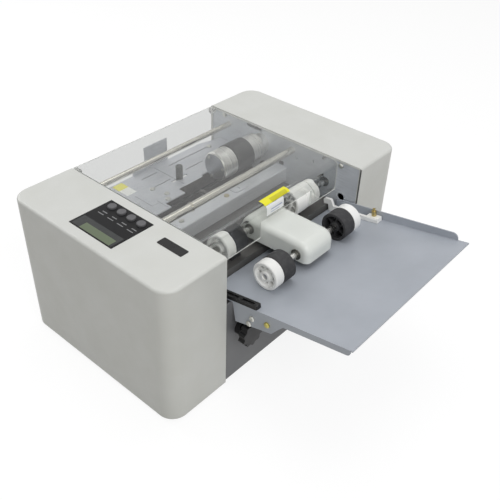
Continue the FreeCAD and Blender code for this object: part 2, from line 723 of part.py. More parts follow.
fillet(tray, S.flange_drop - 3, lambda edge, ends: runs_along(ends, X)
       and near(ends[0].y, flange_end) and near(ends[0].z, -S.flange_drop))
fillet(tray, S.wall_tip - 2, lambda edge, ends: runs_along(ends, X)
       and near(ends[0].y, -(tray_length - 14)) and near(ends[0].z, S.wall_tip))
flange_holes = sketch_on(tray, "YZ_Plane", -tray_left)
FLANGE_SCREWS = ((-66.0, -13.5), (-60.0, -22.5), (-87.5, -13.5))
for u, v in FLANGE_SCREWS:
    circle(flange_holes, u, v, screw_hole)
pocket(tray, flange_holes, S.sheet_metal * 4, midplane=True)
tilted(tray)
node("feed_tray", tray)

# gate and lower guide behind it: one bent sheet between the side plates
gate_y = tray_start_y + S.sheet_metal
gate_z = tray_z0 + S.gate_rise
guide_end = slit_y - blade_radius - 4
guide_y = guide_end - S.guide_flat
guide_z = beam_low - S.guide_drop
guide = new_body()
section = sketch_on(guide, "YZ_Plane")
outline(section, (
    (gate_y, tray_z0 - S.gate_drop), (gate_y + S.sheet_metal, tray_z0 - S.gate_drop),
    (gate_y + S.sheet_metal, gate_z - S.sheet_metal), (guide_y, guide_z - S.sheet_metal),
    (guide_end, guide_z - S.sheet_metal), (guide_end, guide_z), (guide_y, guide_z),
    (gate_y, gate_z)))
pad(guide, section, plate_x * 2, midplane=True)
node("infeed_guide", guide)

pad_top = feed_z - S.tyre_radius - S.fit_gap
pad_slope = (guide_z - gate_z) / (guide_y - gate_y)


def guide_top(y):
    return gate_z + pad_slope * (y - gate_y)


def separation_pad(side):
    """Rubber pad on the guide, hollowed to the tyre above it."""
    body = new_body()
    face = sketch_on(body, "YZ_Plane", side * (S.roller_inner + S.tyre_width / 2))
    half = 9.0
    outline(face, ((feed_y - half, guide_top(feed_y - half)), (feed_y + half, guide_top(feed_y + half)),
                   (feed_y + half, pad_top + 1.5), (feed_y - half, pad_top + 1.5)))
    pad(body, face, S.tyre_width - 4, midplane=True)
    hollow = sketch_on(body, "YZ_Plane", side * (S.roller_inner + S.tyre_width / 2))
    circle(hollow, feed_y, feed_z, S.tyre_radius + S.fit_gap)
    pocket(body, hollow, S.tyre_width * 2, midplane=True)
    return body


node("separation_pads", group(separation_pad(-1), separation_pad(1)))

# slotted black strip along the tray's left edge
strip = new_body()
face = sketch_on(strip, "XY_Plane")
strip_x0 = -tray_left
strip_end = -(S.strip_start + S.strip_length)
slot_x0 = strip_x0 + S.strip_width / 3
slot_x1 = slot_x0 + S.strip_width / 3
slot_y0 = strip_end + S.strip_margin
slot_y1 = slot_y0 + S.strip_slot
rectangle(face, strip_x0, strip_x0 + S.strip_width, strip_end, -S.strip_start)
pad(strip, face, S.strip_height)
slots = sketch_on(strip, "XY_Plane", S.strip_height)
rectangle(slots, slot_x0, slot_x1, slot_y0, slot_y1)
rectangle(slots, slot_x0, slot_x1, slot_y1 + S.strip_margin, -(S.strip_start + S.strip_margin))
pocket(strip, slots, S.strip_height / 2)
fillet(strip, S.strip_width / 5, lambda edge, ends: runs_along(ends, Z)
       and near(ends[0].y, strip_end))
tilted(strip)
node("left_sheet_guide", strip)

# white nylon guide that slides across the tray, hooked over the gate, with a brass thumb screw
fence_x = tray_right - S.fence_inset
fence_end = -S.fence_reach
fence_screw_u = fence_end + S.fence_foot_length / 2
fence_screw_x = fence_x + S.fence_thickness + S.knurl_radius
hook_low = S.gate_rise + S.fit_gap * 2
hook_top = hook_low + S.fence_step
fence = new_body()
face = sketch_on(fence, "YZ_Plane", fence_x)
outline(face, ((-3.0, S.fit_gap), (-3.0, hook_low), (S.fence_hook, hook_low),
               (S.fence_hook, hook_top), (-S.fence_step, hook_top),
               (-S.fence_step - 3, S.fence_step), (fence_end, S.fence_foot - 1),
               (fence_end, S.fit_gap)))
pad(fence, face, S.fence_thickness)
foot = sketch_on(fence, "XY_Plane", S.fit_gap)
rectangle(foot, fence_x + 1, tray_right - S.knurl_radius, fence_end,
          fence_end + S.fence_foot_length)
pad(fence, foot, S.fence_foot)
fillet(fence, 3.0, lambda edge, ends: runs_along(ends, X) and near(ends[0].z, hook_top))
thread = sketch_on(fence, "XY_Plane", S.fit_gap + S.fence_foot)
circle(thread, fence_screw_x, fence_screw_u, S.screw_radius + S.run_gap)
pocket(fence, thread, S.fence_foot * 2)
tilted(fence)
node("right_sheet_guide", fence)
knurl_low = S.fence_foot + S.fit_gap * 2
knurl = joined(rod(S.screw_radius, knurl_low, fence_screw_x, fence_screw_u, S.fit_gap * 2),
               rod(S.knurl_radius, S.knurl_height, fence_screw_x, fence_screw_u, knurl_low),
               rod(S.screw_radius, 3.0, fence_screw_x, fence_screw_u, knurl_low + S.knurl_height))
node("thumb_screw", tilted(knurl))


# ------------------------------------------------------------------------- rollers and feed arm

FLIP = FreeCAD.Rotation(FreeCAD.Vector(0, 0, 1), 180)
bore = S.shaft_radius + 0.02
tyre_x1 = S.roller_inner + S.tyre_width
wheel_x1 = tyre_x1 + S.wheel_width


def make_tyre(side, y, z):
    """Rubber tyre on a moulded core that is hollow and ribbed towards the arm."""
    radius = S.tyre_radius
    hollow = radius - S.tyre_wall
    width = S.tyre_width
    depth = S.core_depth
    core = S.shaft_radius + 2.5
    body = new_body()
    section = sketch_on(body, "XY_Plane")
    outline(section, (
        (0.0, hollow), (0.0, radius - 0.5), (0.5, radius), (width - 0.5, radius),
        (width, radius - 0.5), (width, bore), (2.0, bore), (2.0, core), (depth, core),
        (depth, hollow)))
    revolve(body, section)
    rib = sketch_on(body, "YZ_Plane", 4.0)
    rectangle(rib, -0.9, 0.9, core - 0.5, hollow + 0.5)
    ring_pattern(body, pad(body, rib, depth - 3.5), "X_Axis", 6)
    return place(body, S.roller_inner * side, y, z, FLIP if side < 0 else None)


def make_wheel(side, y, z, drum=False):
    """White moulded wheel: plain rim, sunk web with a ring of holes, hub with the shaft end."""
    radius = wheel_radius
    inside = radius - S.wheel_rim
    width = S.wheel_width
    web = width - 4
    body = new_body()
    section = sketch_on(body, "XY_Plane")
    if drum:
        drum_x0 = width + S.drum_groove
        drum_x1 = drum_x0 + S.drum_length
        outline(section, (
            (0.0, bore), (0.0, radius - 1), (1.0, radius), (width - 1, radius),
            (width, radius - 1), (width, radius - 5), (drum_x0, radius - 5),
            (drum_x0, radius - 1.5), (drum_x1 - 1, radius - 1.5), (drum_x1, radius - 3),
            (drum_x1, bore)))
    else:
        outline(section, (
            (0.0, bore), (0.0, radius - 1), (1.0, radius), (width - 1, radius),
            (width, radius - 1), (width, inside), (web, inside - 0.8), (web, S.wheel_hub + 0.8),
            (width + 0.5, S.wheel_hub), (width + 0.5, bore)))
    revolve(body, section)
    if not drum:
        hole = sketch_on(body, "YZ_Plane", web - 6)
        circle(hole, 0.0, (inside + S.wheel_hub) / 2, S.web_hole)
        ring_pattern(body, pocket(body, hole, 8.0, back=True), "X_Axis", 8)
    return place(body, tyre_x1 * side, y, z, FLIP if side < 0 else None)


def roller_shaft(y, z, left_x, right_x, socket):
    """Steel shaft with the belt pulley turned on it and a hexagon socket in each free end."""
    half = S.belt_width / 2 + 1
    body = turned(((left_x, 0.0), (left_x, S.shaft_radius), (-half, S.shaft_radius),
                   (-half, S.belt_pulley + 1), (1 - half, S.belt_pulley + 1),
                   (1 - half, S.belt_pulley), (half - 1, S.belt_pulley),
                   (half - 1, S.belt_pulley + 1), (half, S.belt_pulley + 1),
                   (half, S.shaft_radius), (right_x, S.shaft_radius), (right_x, 0.0)), 0.0, y, z)
    for x, back in ((left_x, True), (right_x, False)) if socket else ():
        key = sketch_on(body, "YZ_Plane", x)
        outline(key, [(S.shaft_key * math.cos(math.radians(60 * i)),
                       S.shaft_key * math.sin(math.radians(60 * i))) for i in range(6)])
        pocket(body, key, 3.0, back=not back)
    return body


def belt(first, second, x0, width, thickness):
    """Flat belt round two pulleys given as (y, z, radius), running just clear of them."""
    (y1, z1, r1), (y2, z2, r2) = [[value_of(size) for size in pulley] for pulley in (first, second)]
    span = math.hypot(y2 - y1, z2 - z1)
    heading = math.atan2(z2 - z1, y2 - y1)

    def loop(extra):
        lean = math.acos((r1 - r2) / span)
        spots = []
        for y, z, r, angle in ((y1, z1, r1, lean), (y2, z2, r2, lean),
                               (y2, z2, r2, -lean), (y1, z1, r1, -lean)):
            reach = r + extra
            spots.append(FreeCAD.Vector(value_of(x0), y + reach * math.cos(heading + angle),
                                        z + reach * math.sin(heading + angle)))
        tip = FreeCAD.Vector(value_of(x0), y2 + (r2 + extra) * math.cos(heading),
                             z2 + (r2 + extra) * math.sin(heading))
        tail = FreeCAD.Vector(value_of(x0), y1 - (r1 + extra) * math.cos(heading),
                              z1 - (r1 + extra) * math.sin(heading))
        return Part.Face(Part.Wire([
            Part.makeLine(spots[0], spots[1]), Part.Arc(spots[1], tip, spots[2]).toShape(),
            Part.makeLine(spots[2], spots[3]), Part.Arc(spots[3], tail, spots[0]).toShape()]))

    gap = S.fit_gap.value
    band = loop(gap + value_of(thickness)).cut(loop(gap))
    thing = doc.addObject("Part::Feature", "Belt")
    thing.Shape = band.extrude(FreeCAD.Vector(value_of(width), 0, 0))
    return thing


front_end = wheel_x1 - 1
node("front_roller_shaft", roller_shaft(front_axis_y, front_axis_z, -front_end, front_end, True))
rear_left_x = -(plate_x + S.plate_thickness + 3)
belt_end = belt_x + S.belt_width + 1
node("rear_feed_shaft", roller_shaft(feed_y, feed_z, rear_left_x, belt_end, False))
for row, y, z in (("front", front_axis_y, front_axis_z), ("rear", feed_y, feed_z)):
    for side, name in ((-1, "left"), (1, "right")):
        node("%s_%s_tyre" % (row, name), make_tyre(side, y, z))
        node("%s_%s_wheel" % (row, name), make_wheel(side, y, z, row == "rear" and side > 0))

# arm: moulded shell over both shafts, open below
half_arm = S.arm_width / 2
nose_y = front_axis_y - S.arm_front_radius
tail_y = feed_y + S.arm_rear_radius
nose_low = front_axis_z - 8.0
tail_low = feed_z - S.arm_rear_radius
arm = new_body()
side_view = sketch_on(arm, "YZ_Plane")
outline(side_view, ((tail_y, tail_low), (tail_y, feed_z + S.arm_rear_radius),
                    (nose_y, front_axis_z + S.arm_front_radius), (nose_y, nose_low)))
pad(arm, side_view, S.arm_width, midplane=True)
fillet(arm, S.arm_rear_radius - 2, lambda edge, ends: runs_along(ends, X)
       and near(ends[0].y, tail_y) and near(ends[0].z, feed_z + S.arm_rear_radius))
fillet(arm, S.arm_front_radius - 2, lambda edge, ends: runs_along(ends, X)
       and near(ends[0].y, nose_y) and near(ends[0].z, front_axis_z + S.arm_front_radius))


def arm_rim(edge, ends):
    """Edges round both sides of the arm, apart from its lower edges."""
    box = edge.BoundBox
    flat = near(abs(box.XMin), half_arm) and near(box.XMin, box.XMax)
    low = near(ends[0].z, tail_low) and near(ends[1].z, nose_low)
    low = low or near(ends[1].z, tail_low) and near(ends[0].z, nose_low)
    return flat and not low


fillet(arm, S.arm_rim, arm_rim)
crown = S.arm_rim * 0.75
inner_tail = tail_y - S.arm_wall
inner_nose = nose_y + S.arm_wall
tail_cut = S.arm_rear_radius * 0.6
nose_cut = S.arm_front_radius * 0.6
for roof, side_wall in ((crown, S.arm_wall), (S.arm_wall, crown)):
    inner_rear = feed_z + S.arm_rear_radius - roof
    inner_front = front_axis_z + S.arm_front_radius - roof
    inside = sketch_on(arm, "YZ_Plane")
    outline(inside, (
        (inner_tail, tail_low - 5), (inner_tail, inner_rear - tail_cut),
        (inner_tail - tail_cut, inner_rear), (inner_nose + nose_cut, inner_front),
        (inner_nose, inner_front - nose_cut), (inner_nose, tail_low - 5)))
    pocket(arm, inside, S.arm_width - side_wall * 2, midplane=True)
bush_radius = S.shaft_radius + 1.6
axles = sketch_on(arm, "YZ_Plane")
circle(axles, feed_y, feed_z, bush_radius)
circle(axles, front_axis_y, front_axis_z, bush_radius)
pocket(arm, axles, S.arm_width * 2, midplane=True)
node("arm_housing", arm)

arm_slope = (nose_low - tail_low) / (nose_y - tail_y)
under = new_body()
section = sketch_on(under, "YZ_Plane")
plate_a = tail_y - 2
plate_b = nose_y + 3
low_a = tail_low + arm_slope * (plate_a - tail_y)
low_b = tail_low + arm_slope * (plate_b - tail_y)
outline(section, ((plate_a, low_a), (plate_b, low_b), (plate_b, low_b - S.arm_floor),
                  (plate_a, low_a - S.arm_floor)))
pad(under, section, S.arm_width - 3, midplane=True)
fillet(under, 6.0, lambda edge, ends: len(ends) == 2
       and abs(ends[0].x - ends[1].x) < 0.01 and abs(ends[0].y - ends[1].y) < 0.01)
node("arm_base_plate", under)


def arm_bush(side, y, z):
    start = half_arm - S.arm_wall
    piece = turned(((0.0, S.shaft_radius + S.run_gap), (0.0, bush_radius - 0.02),
                    (S.arm_wall, bush_radius - 0.02), (S.arm_wall, bush_radius + 1.2),
                    (S.arm_wall + 1.2, bush_radius + 1.2),
                    (S.arm_wall + 1.2, S.shaft_radius + S.run_gap)), 0.0, 0.0, 0.0)
    return place(piece, start * side, y, z, FLIP if side < 0 else None)


node("arm_bushings", group(*[arm_bush(side, y, z) for side in (-1, 1)
                             for y, z in ((feed_y, feed_z), (front_axis_y, front_axis_z))]))
node("arm_belt", belt((feed_y, feed_z, S.belt_pulley), (front_axis_y, front_axis_z, S.belt_pulley),
                      -S.belt_width / 2 + 0.3, S.belt_width - 0.6, S.belt_thickness))


# ------------------------------------------------------------------------------ slitter and drive

slit_left = -(plate_x + S.plate_thickness + 3)
slit_right = gear_x + S.gear_width + 1
slit_bore = S.slit_shaft + 0.02
gutter = 5.0
card_edge = S.card_width + gutter
CUTS = ((gutter, -1), (-gutter, 1), (card_edge, 1), (-card_edge, -1))


def slit_blade(x, side, z):
    """Round blade with its flat cutting face at x and its hub on the given side."""
    thick = S.blade_thickness
    hub = S.slit_shaft + 3
    piece = turned(((0.0, slit_bore), (0.0, blade_radius), (0.5, blade_radius),
                    (thick, blade_radius - 2), (thick, hub), (thick + 1.5, hub),
                    (thick + 1.5, slit_bore)), 0.0, 0.0, 0.0)
    return place(piece, x, slit_y, z, FLIP if side < 0 else None)


def make_gear(teeth, phase, y, z):
    """Spur gear whose first tooth points at an angle measured from +Y towards +Z."""
    pitch = S.gear_module * teeth / 2
    base = pitch - S.gear_module * 1.25
    tip = pitch + S.gear_module
    body = new_body()
    disc = sketch_on(body, "YZ_Plane")
    circle(disc, 0.0, 0.0, base)
    pad(body, disc, S.gear_width)
    tooth = sketch_on(body, "YZ_Plane")
    root_half = S.gear_module
    tip_half = S.gear_module * 0.3
    outline(tooth, ((base - 0.4, -root_half), (tip, -tip_half), (tip, tip_half),
                    (base - 0.4, root_half)))
    ring_pattern(body, pad(body, tooth, S.gear_width), "X_Axis", int(teeth.value))
    turn = FreeCAD.Rotation(FreeCAD.Vector(1, 0, 0), phase)
    return place(body, gear_x, y, z, turn)


to_motor = math.degrees(math.atan2(motor_rise.value, (motor_y - slit_y).value))
tooth_angle = 360 / S.slit_teeth.value
upper_phase = to_motor + tooth_angle / 2
lower_phase = tooth_angle / 2 - upper_phase
for row, z, phase, lower in (("upper", slit_z, upper_phase, False),
                             ("lower", slit_low, lower_phase, True)):
    node(row + "_slitter_shaft", rod(S.slit_shaft, slit_right - slit_left, slit_left, slit_y, z, X))
    blades = []
    for x, side in CUTS:
        if lower:
            blades.append(slit_blade(x - S.blade_gap * side, -side, z))
        else:
            blades.append(slit_blade(x, side, z))
    node(row + "_slitter_blades", group(*blades))
    gear = make_gear(S.slit_teeth, phase, slit_y, z)
    hole = sketch_on(gear, "YZ_Plane")
    circle(hole, 0.0, 0.0, slit_bore)
    pocket(gear, hole, S.gear_width * 3, midplane=True)
    node(row + "_slitter_gear", gear)

# motor gear with the belt pulley and the motor's shaft
motor_gear = make_gear(S.motor_teeth, to_motor + 180, motor_y, motor_z)
light = sketch_on(motor_gear, "YZ_Plane")
circle(light, 0.0, motor_pitch * 0.64, 4.5)
ring_pattern(motor_gear, pocket(motor_gear, light, S.gear_width * 3, midplane=True), "X_Axis", 6)
shaft_start = plate_x - motor_seat + 0.5 - gear_x
pulley_start = belt_x - gear_x
rim = S.motor_pulley + 2
profile = sketch_on(motor_gear, "XY_Plane")
outline(profile, (
    (shaft_start, 0.0), (shaft_start, S.shaft_radius), (0.5, S.shaft_radius), (0.5, 7.0),
    (pulley_start - 1, 7.0), (pulley_start - 1, rim), (pulley_start, rim),
    (pulley_start, S.motor_pulley), (pulley_start + S.belt_width, S.motor_pulley),
    (pulley_start + S.belt_width, rim), (pulley_start + S.belt_width + 1, rim),
    (pulley_start + S.belt_width + 1, 0.0)))
revolve(motor_gear, profile)
node("motor_gear", motor_gear)

rim = S.feed_pulley + 2
node("feed_pulley", turned((
    (-1.0, bore), (-1.0, rim), (0.0, rim), (0.0, S.feed_pulley), (S.belt_width, S.feed_pulley),
    (S.belt_width, rim), (S.belt_width + 1, rim), (S.belt_width + 1, bore)),
    belt_x, feed_y, feed_z))
node("feed_belt", belt((feed_y, feed_z, S.feed_pulley), (motor_y, motor_z, S.motor_pulley),
                       belt_x + 0.3, S.belt_width - 0.6, S.belt_thickness))


def plate_bushing(side, y, z, shaft):
    """Flanged bushing pressed into a side plate from inside."""
    flange = 1.5
    inner = shaft + S.run_gap
    outer = shaft + S.bushing_wall - 0.02
    lip = outer + S.bushing_lip
    piece = turned(((0.0, inner), (0.0, lip), (flange, lip), (flange, outer),
                    (flange + S.plate_thickness, outer), (flange + S.plate_thickness, inner)),
                   0.0, 0.0, 0.0)
    return place(piece, (plate_x - flange) * side, y, z, FLIP if side < 0 else None)


node("shaft_bushings", group(*[
    plate_bushing(side, y, z, shaft) for side in (-1, 1)
    for y, z, shaft in ((feed_y, feed_z, S.shaft_radius), (slit_y, slit_z, S.slit_shaft),
                        (slit_y, slit_low, S.slit_shaft))]))


# ----------------------------------------------------------------------------- blades across

blade_end = plate_x + S.plate_thickness
blade_slant = 2.5
guillotine = new_body()
face = sketch_on(guillotine, "XZ_Plane", -cut_y)
outline(face, ((-blade_end, cut_z), (blade_end, cut_z + blade_slant), (blade_end, cut_top),
               (-blade_end, cut_top)))
pad(guillotine, face, S.guillotine_thickness, back=True)
blank = guillotine.Tip
back_y = cut_y + S.guillotine_thickness
ground = edges_where(blank.Shape, lambda edge, ends: near(ends[0].y, back_y)
                     and near(ends[1].y, back_y)
                     and max(ends[0].z, ends[1].z) < (cut_z + blade_slant + 1).value)
bevel = guillotine.newObject("PartDesign::Chamfer", "Chamfer")
bevel.Base = (blank, ground)
bind(bevel, "Size", S.guillotine_thickness / 2)
doc.recompute()
node("guillotine_blade", guillotine)

counter = new_body()
section = sketch_on(counter, "YZ_Plane")
counter_y1 = cut_y - 0.2
counter_y0 = counter_y1 - S.guillotine_thickness
counter_z1 = nip_z - 0.5
counter_z0 = counter_z1 - S.counter_depth
outline(section, ((counter_y0, counter_z0), (counter_y1, counter_z0),
                  (counter_y1, counter_z1), (counter_y0 + 1.2, counter_z1),
                  (counter_y0, counter_z1 - 3)))
pad(counter, section, plate_x * 2, midplane=True)
node("counter_blade", counter)


# ------------------------------------------------------------------------------------ clear cover

cover_half = inner_x - S.cover_side_gap
cover_y0 = feed_y - S.tyre_radius - S.flap_gap - S.cover_thickness
cover_y1 = hinge_y + S.knuckle_radius
under_cover = cover_top - S.cover_thickness
cover = new_body()
section = sketch_on(cover, "YZ_Plane")
outline(section, ((cover_y1, cover_top), (cover_y0, cover_top), (cover_y0, flap_bottom),
                  (cover_y0 + S.cover_thickness, flap_bottom),
                  (cover_y0 + S.cover_thickness, under_cover), (cover_y1, under_cover)))
pad(cover, section, cover_half * 2, midplane=True)
fillet(cover, S.cover_bend, lambda edge, ends: runs_along(ends, X)
       and near(ends[0].y, cover_y0) and near(ends[0].z, cover_top))
fillet(cover, S.cover_bend - S.cover_thickness, lambda edge, ends: runs_along(ends, X)
       and near(ends[0].y, cover_y0 + S.cover_thickness) and near(ends[0].z, under_cover))
notch = sketch_on(cover, "XZ_Plane", -cover_y0)
rectangle(notch, S.notch_left, S.notch_right, flap_bottom - 5, cover_top - S.notch_drop)
pocket(cover, notch, S.cover_thickness * 4, midplane=True)
for side in (-1, 1):
    knuckle = sketch_on(cover, "YZ_Plane", (cover_half - S.knuckle_length) * side)
    circle(knuckle, hinge_y, hinge_z, S.knuckle_radius)
    pad(cover, knuckle, S.knuckle_length, back=side < 0)
pin_bore = sketch_on(cover, "YZ_Plane")
circle(pin_bore, hinge_y, hinge_z, S.hinge_pin + S.run_gap)
pocket(cover, pin_bore, cover_half * 3, midplane=True)
node("clear_cover", cover)

pins = []
for y, z, reach in ((hinge_y, hinge_z, S.knuckle_length), (rest_y, rest_z, S.cover_side_gap)):
    inner_end = cover_half - reach
    length = blade_end - inner_end
    pins.append(rod(S.hinge_pin, length, inner_end, y, z, X))
    pins.append(rod(S.hinge_pin, length, -blade_end, y, z, X))
node("cover_pins", group(*pins))


# ---------------------------------------------------------------------------------- control panel

window_x0 = -S.window_x - S.window_width / 2
window_y0 = middle + S.bezel_y - S.window_depth / 2
bezel_top = bezel_z0 + S.bezel_thickness
bezel = new_body()
face = sketch_on(bezel, "XY_Plane", bezel_z0)
rectangle(face, bezel_x0, bezel_x0 + S.bezel_width, bezel_y0, bezel_y0 + S.bezel_depth)
pad(bezel, face, S.bezel_thickness)
frame = sketch_on(bezel, "XY_Plane", bezel_top)
rectangle(frame, window_x0, window_x0 + S.window_width, window_y0, window_y0 + S.window_depth)
pocket(bezel, frame, S.window_thickness)
sill = 1.2
openings = sketch_on(bezel, "XY_Plane", bezel_top)
rectangle(openings, window_x0 + sill, window_x0 + S.window_width - sill,
          window_y0 + sill, window_y0 + S.window_depth - sill)
for number in range(len(BUTTONS)):
    circle(openings, -S.button_x, button_y(number), S.button_radius + S.fit_gap)
pocket(bezel, openings, S.bezel_thickness * 2)
node("panel_bezel", bezel)

pane = 0.1
node("display_window", block(S.window_width - pane * 2, S.window_depth - pane * 2,
                             S.window_thickness, window_x0 + pane, window_y0 + pane,
                             bezel_top - S.window_thickness))


def make_button(number):
    """Round push button with a flange under the panel and a short plunger."""
    flange = 1.2
    plunger = S.button_travel + 1.8
    seat = bezel_z0 - 0.2
    tall = bezel_top + S.button_rise
    body = new_body()
    section = sketch_on(body, "XZ_Plane")
    outline(section, (
        (0.0, seat - flange - plunger), (2.0, seat - flange - plunger), (2.0, seat - flange),
        (S.button_flange, seat - flange), (S.button_flange, seat), (S.button_radius, seat),
        (S.button_radius, tall - 0.6), (S.button_radius - 0.6, tall), (0.0, tall)))
    revolve(body, section, "V_Axis")
    return place(body, -S.button_x, button_y(number), 0.0)


for number, name in enumerate(BUTTONS):
    node(name, make_button(number))


# ---------------------------------------------------------- power entry, feet, knobs and fasteners

socket_z = S.inlet_z - 13
pivot_z = S.inlet_z + 17
pivot_y = rear_y - 6
pivot_radius = 1.2
inlet = new_body()
shell = sketch_on(inlet, "XZ_Plane", -rear_y)
half_u = S.inlet_width / 2 - S.fit_gap
half_v = S.inlet_height / 2 - S.fit_gap
rectangle(shell, inlet_x - half_u, inlet_x + half_u, S.inlet_z - half_v, S.inlet_z + half_v)
pad(inlet, shell, S.inlet_depth)
collar = sketch_on(inlet, "XZ_Plane", S.housing_wall - rear_y)
rectangle(collar, inlet_x - half_u - 3, inlet_x + half_u + 3,
          S.inlet_z - half_v - 3, S.inlet_z + half_v + 3)
pad(inlet, collar, 1.5)
cavity = sketch_on(inlet, "XZ_Plane", -rear_y)
outline(cavity, ((inlet_x - 12, socket_z - 8), (inlet_x + 12, socket_z - 8),
                 (inlet_x + 12, socket_z + 4), (inlet_x + 8, socket_z + 8),
                 (inlet_x - 8, socket_z + 8), (inlet_x - 12, socket_z + 4)))
rocker_half = S.rocker_width / 2
rectangle(cavity, inlet_x - rocker_half - 0.5, inlet_x + rocker_half + 0.5,
          pivot_z - S.rocker_height / 2 - 1, pivot_z + S.rocker_height / 2 + 1)
pocket(inlet, cavity, S.inlet_depth - 3, back=True)
contacts = sketch_on(inlet, "XZ_Plane", S.inlet_depth - 2.5 - rear_y)
for u, v in ((-7.0, -1.0), (0.0, 3.0), (7.0, -1.0)):
    rectangle(contacts, inlet_x + u - 1, inlet_x + u + 1, socket_z + v - 2, socket_z + v + 2)
pad(inlet, contacts, 11.0, back=True)
pivot = sketch_on(inlet, "YZ_Plane", inlet_x)
circle(pivot, pivot_y, pivot_z, pivot_radius + S.run_gap)
pocket(inlet, pivot, S.rocker_width + 4, midplane=True)
node("power_inlet", inlet)

rocker = new_body()
section = sketch_on(rocker, "YZ_Plane")
half_v = S.rocker_height / 2
outline(section, ((4.6, -half_v), (3.8, 0.0), (4.6, half_v), (-3.0, 3.0), (-3.0, -3.0)))
pad(rocker, section, S.rocker_width, midplane=True)
pivot = sketch_on(rocker, "YZ_Plane")
circle(pivot, 0.0, 0.0, pivot_radius)
pad(rocker, pivot, S.rocker_width + 3, midplane=True)
place(rocker, inlet_x, pivot_y, pivot_z,
      FreeCAD.Rotation(FreeCAD.Vector(1, 0, 0), S.rocker_tilt.value))
rocker.setExpression("Placement.Rotation.Angle", "Sizes.rocker_tilt")
node("rocker_switch", rocker)


def foot(x, y):
    body = new_body()
    section = sketch_on(body, "XZ_Plane")
    outline(section, ((0.0, 0.0), (S.foot_radius - 2, 0.0), (S.foot_radius - 1, 1.0),
                      (S.foot_radius, S.foot_height), (0.0, S.foot_height)))
    revolve(body, section, "V_Axis")
    return place(body, x, y, 0.0)


foot_x = inner_x + S.housing_width / 2
foot_y = S.housing_depth / 2 - S.foot_inset
node("rubber_feet", group(*[foot(foot_x * side, middle + foot_y * end)
                            for side in (-1, 1) for end in (-1, 1)]))

# skew knob: stem through the front panel, a collar on each side of it, lobed grip
knob = new_body()
stem_back = 8.0
stem = sketch_on(knob, "XZ_Plane", -stem_back)
circle(stem, 0.0, 0.0, S.knob_stem)
pad(knob, stem, S.knob_gap + stem_back + 1)
collar_radius = S.knob_stem + 3
back_collar = sketch_on(knob, "XZ_Plane", -(S.sheet_metal + S.fit_gap + 3))
circle(back_collar, 0.0, 0.0, collar_radius)
pad(knob, back_collar, 3.0)
front_collar = sketch_on(knob, "XZ_Plane", S.fit_gap)
circle(front_collar, 0.0, 0.0, S.knob_collar)
pad(knob, front_collar, S.knob_gap / 2)
grip = sketch_on(knob, "XZ_Plane", S.knob_gap)
circle(grip, 0.0, 0.0, S.knob_radius)
pad(knob, grip, S.knob_length)
lobe = sketch_on(knob, "XZ_Plane", S.knob_gap)
circle(lobe, 0.0, S.knob_radius - 1, S.knob_lobe)
ring_pattern(knob, pad(knob, lobe, S.knob_length), "Y_Axis", 10)
place(knob, -knob_x, front_y, knob_z)
node("skew_knob", knob)

# deck stop: post above the deck, its stem in the slot and a washer below
washer_z = deck_skin - S.fit_gap
post_z = deck_top + S.fit_gap
post_top = deck_top + S.stop_height
post = new_body()
section = sketch_on(post, "XZ_Plane")
outline(section, (
    (0.0, washer_z - 1.5), (S.stop_radius, washer_z - 1.5), (S.stop_radius, washer_z),
    (S.stop_stem, washer_z), (S.stop_stem, post_z), (S.stop_radius, post_z),
    (S.stop_radius, post_top - 1), (S.stop_radius - 1, post_top), (0.0, post_top)))
revolve(post, section, "V_Axis")
place(post, S.stop_x, stop_y, 0.0)
node("deck_stop_knob", post)


def on_tray(u, v):
    """World Y and Z of a point drawn in the tray's tilted frame."""
    lean = sine(S.tray_tilt)
    return tray_start_y + u * upright + v * lean, tray_z0 - u * lean + v * upright


UPWARDS = FreeCAD.Rotation(FreeCAD.Vector(0, 1, 0), -90)


def screw(x, y, z, grip, turn=None):
    """Pan-head screw whose head faces +X before it is turned, seated at x."""
    dome = S.screw_dome
    body = new_body()
    section = sketch_on(body, "XY_Plane")
    outline(section, ((-grip, 0.0), (-grip, S.screw_radius), (0.0, S.screw_radius),
                      (0.0, S.screw_head), (dome - 0.8, S.screw_head),
                      (dome, S.screw_head - 1.2), (dome, 0.0)))
    revolve(body, section)
    return place(body, x, y, z, turn)


screws = []
for side, inward, outward in ((-1, None, FLIP), (1, FLIP, None)):
    for y, z in PLATE_SCREWS:
        screws.append(screw(plate_x * side, middle + y, z, S.plate_thickness + 2, inward))
    for y, z in ((front_rod_y, front_rod_z), (rear_rod_y, rear_rod_z)):
        screws.append(screw(blade_end * side, y, z, S.plate_thickness, outward))
for x, back in BEAM_SCREWS:
    seat = beam_top + S.sheet_metal if (x, back) == BRACKET_SCREW else beam_top
    screws.append(screw(x, beam_y1 - back, seat, 5.0, UPWARDS))
for x, y in DECK_SCREWS:
    screws.append(screw(x, middle + y, deck_top, 4.0, UPWARDS))
for u, v in FLANGE_SCREWS:
    y, z = on_tray(u, v)
    screws.append(screw(-tray_left, y, z, 3.0, FLIP))
node("frame_screws", group(*screws))


# ------------------------------------------------------------------------------ checks and export

doc.recompute()
for thing in doc.Objects:
    if "Invalid" in thing.State or "Error" in thing.State:
        raise RuntimeError("%s (%s) failed" % (thing.Name, thing.Label))
for thing in NODES:
    if thing.Shape.isNull() or not thing.Shape.isValid():
        raise RuntimeError("%s has no valid shape" % thing.Label)
os.makedirs("parts", exist_ok=True)
for thing in NODES:
    thing.Shape.exportStep("parts/%s.step" % thing.Label)
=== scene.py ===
import math

import bmesh
import bpy
from mathutils import Matrix, Vector


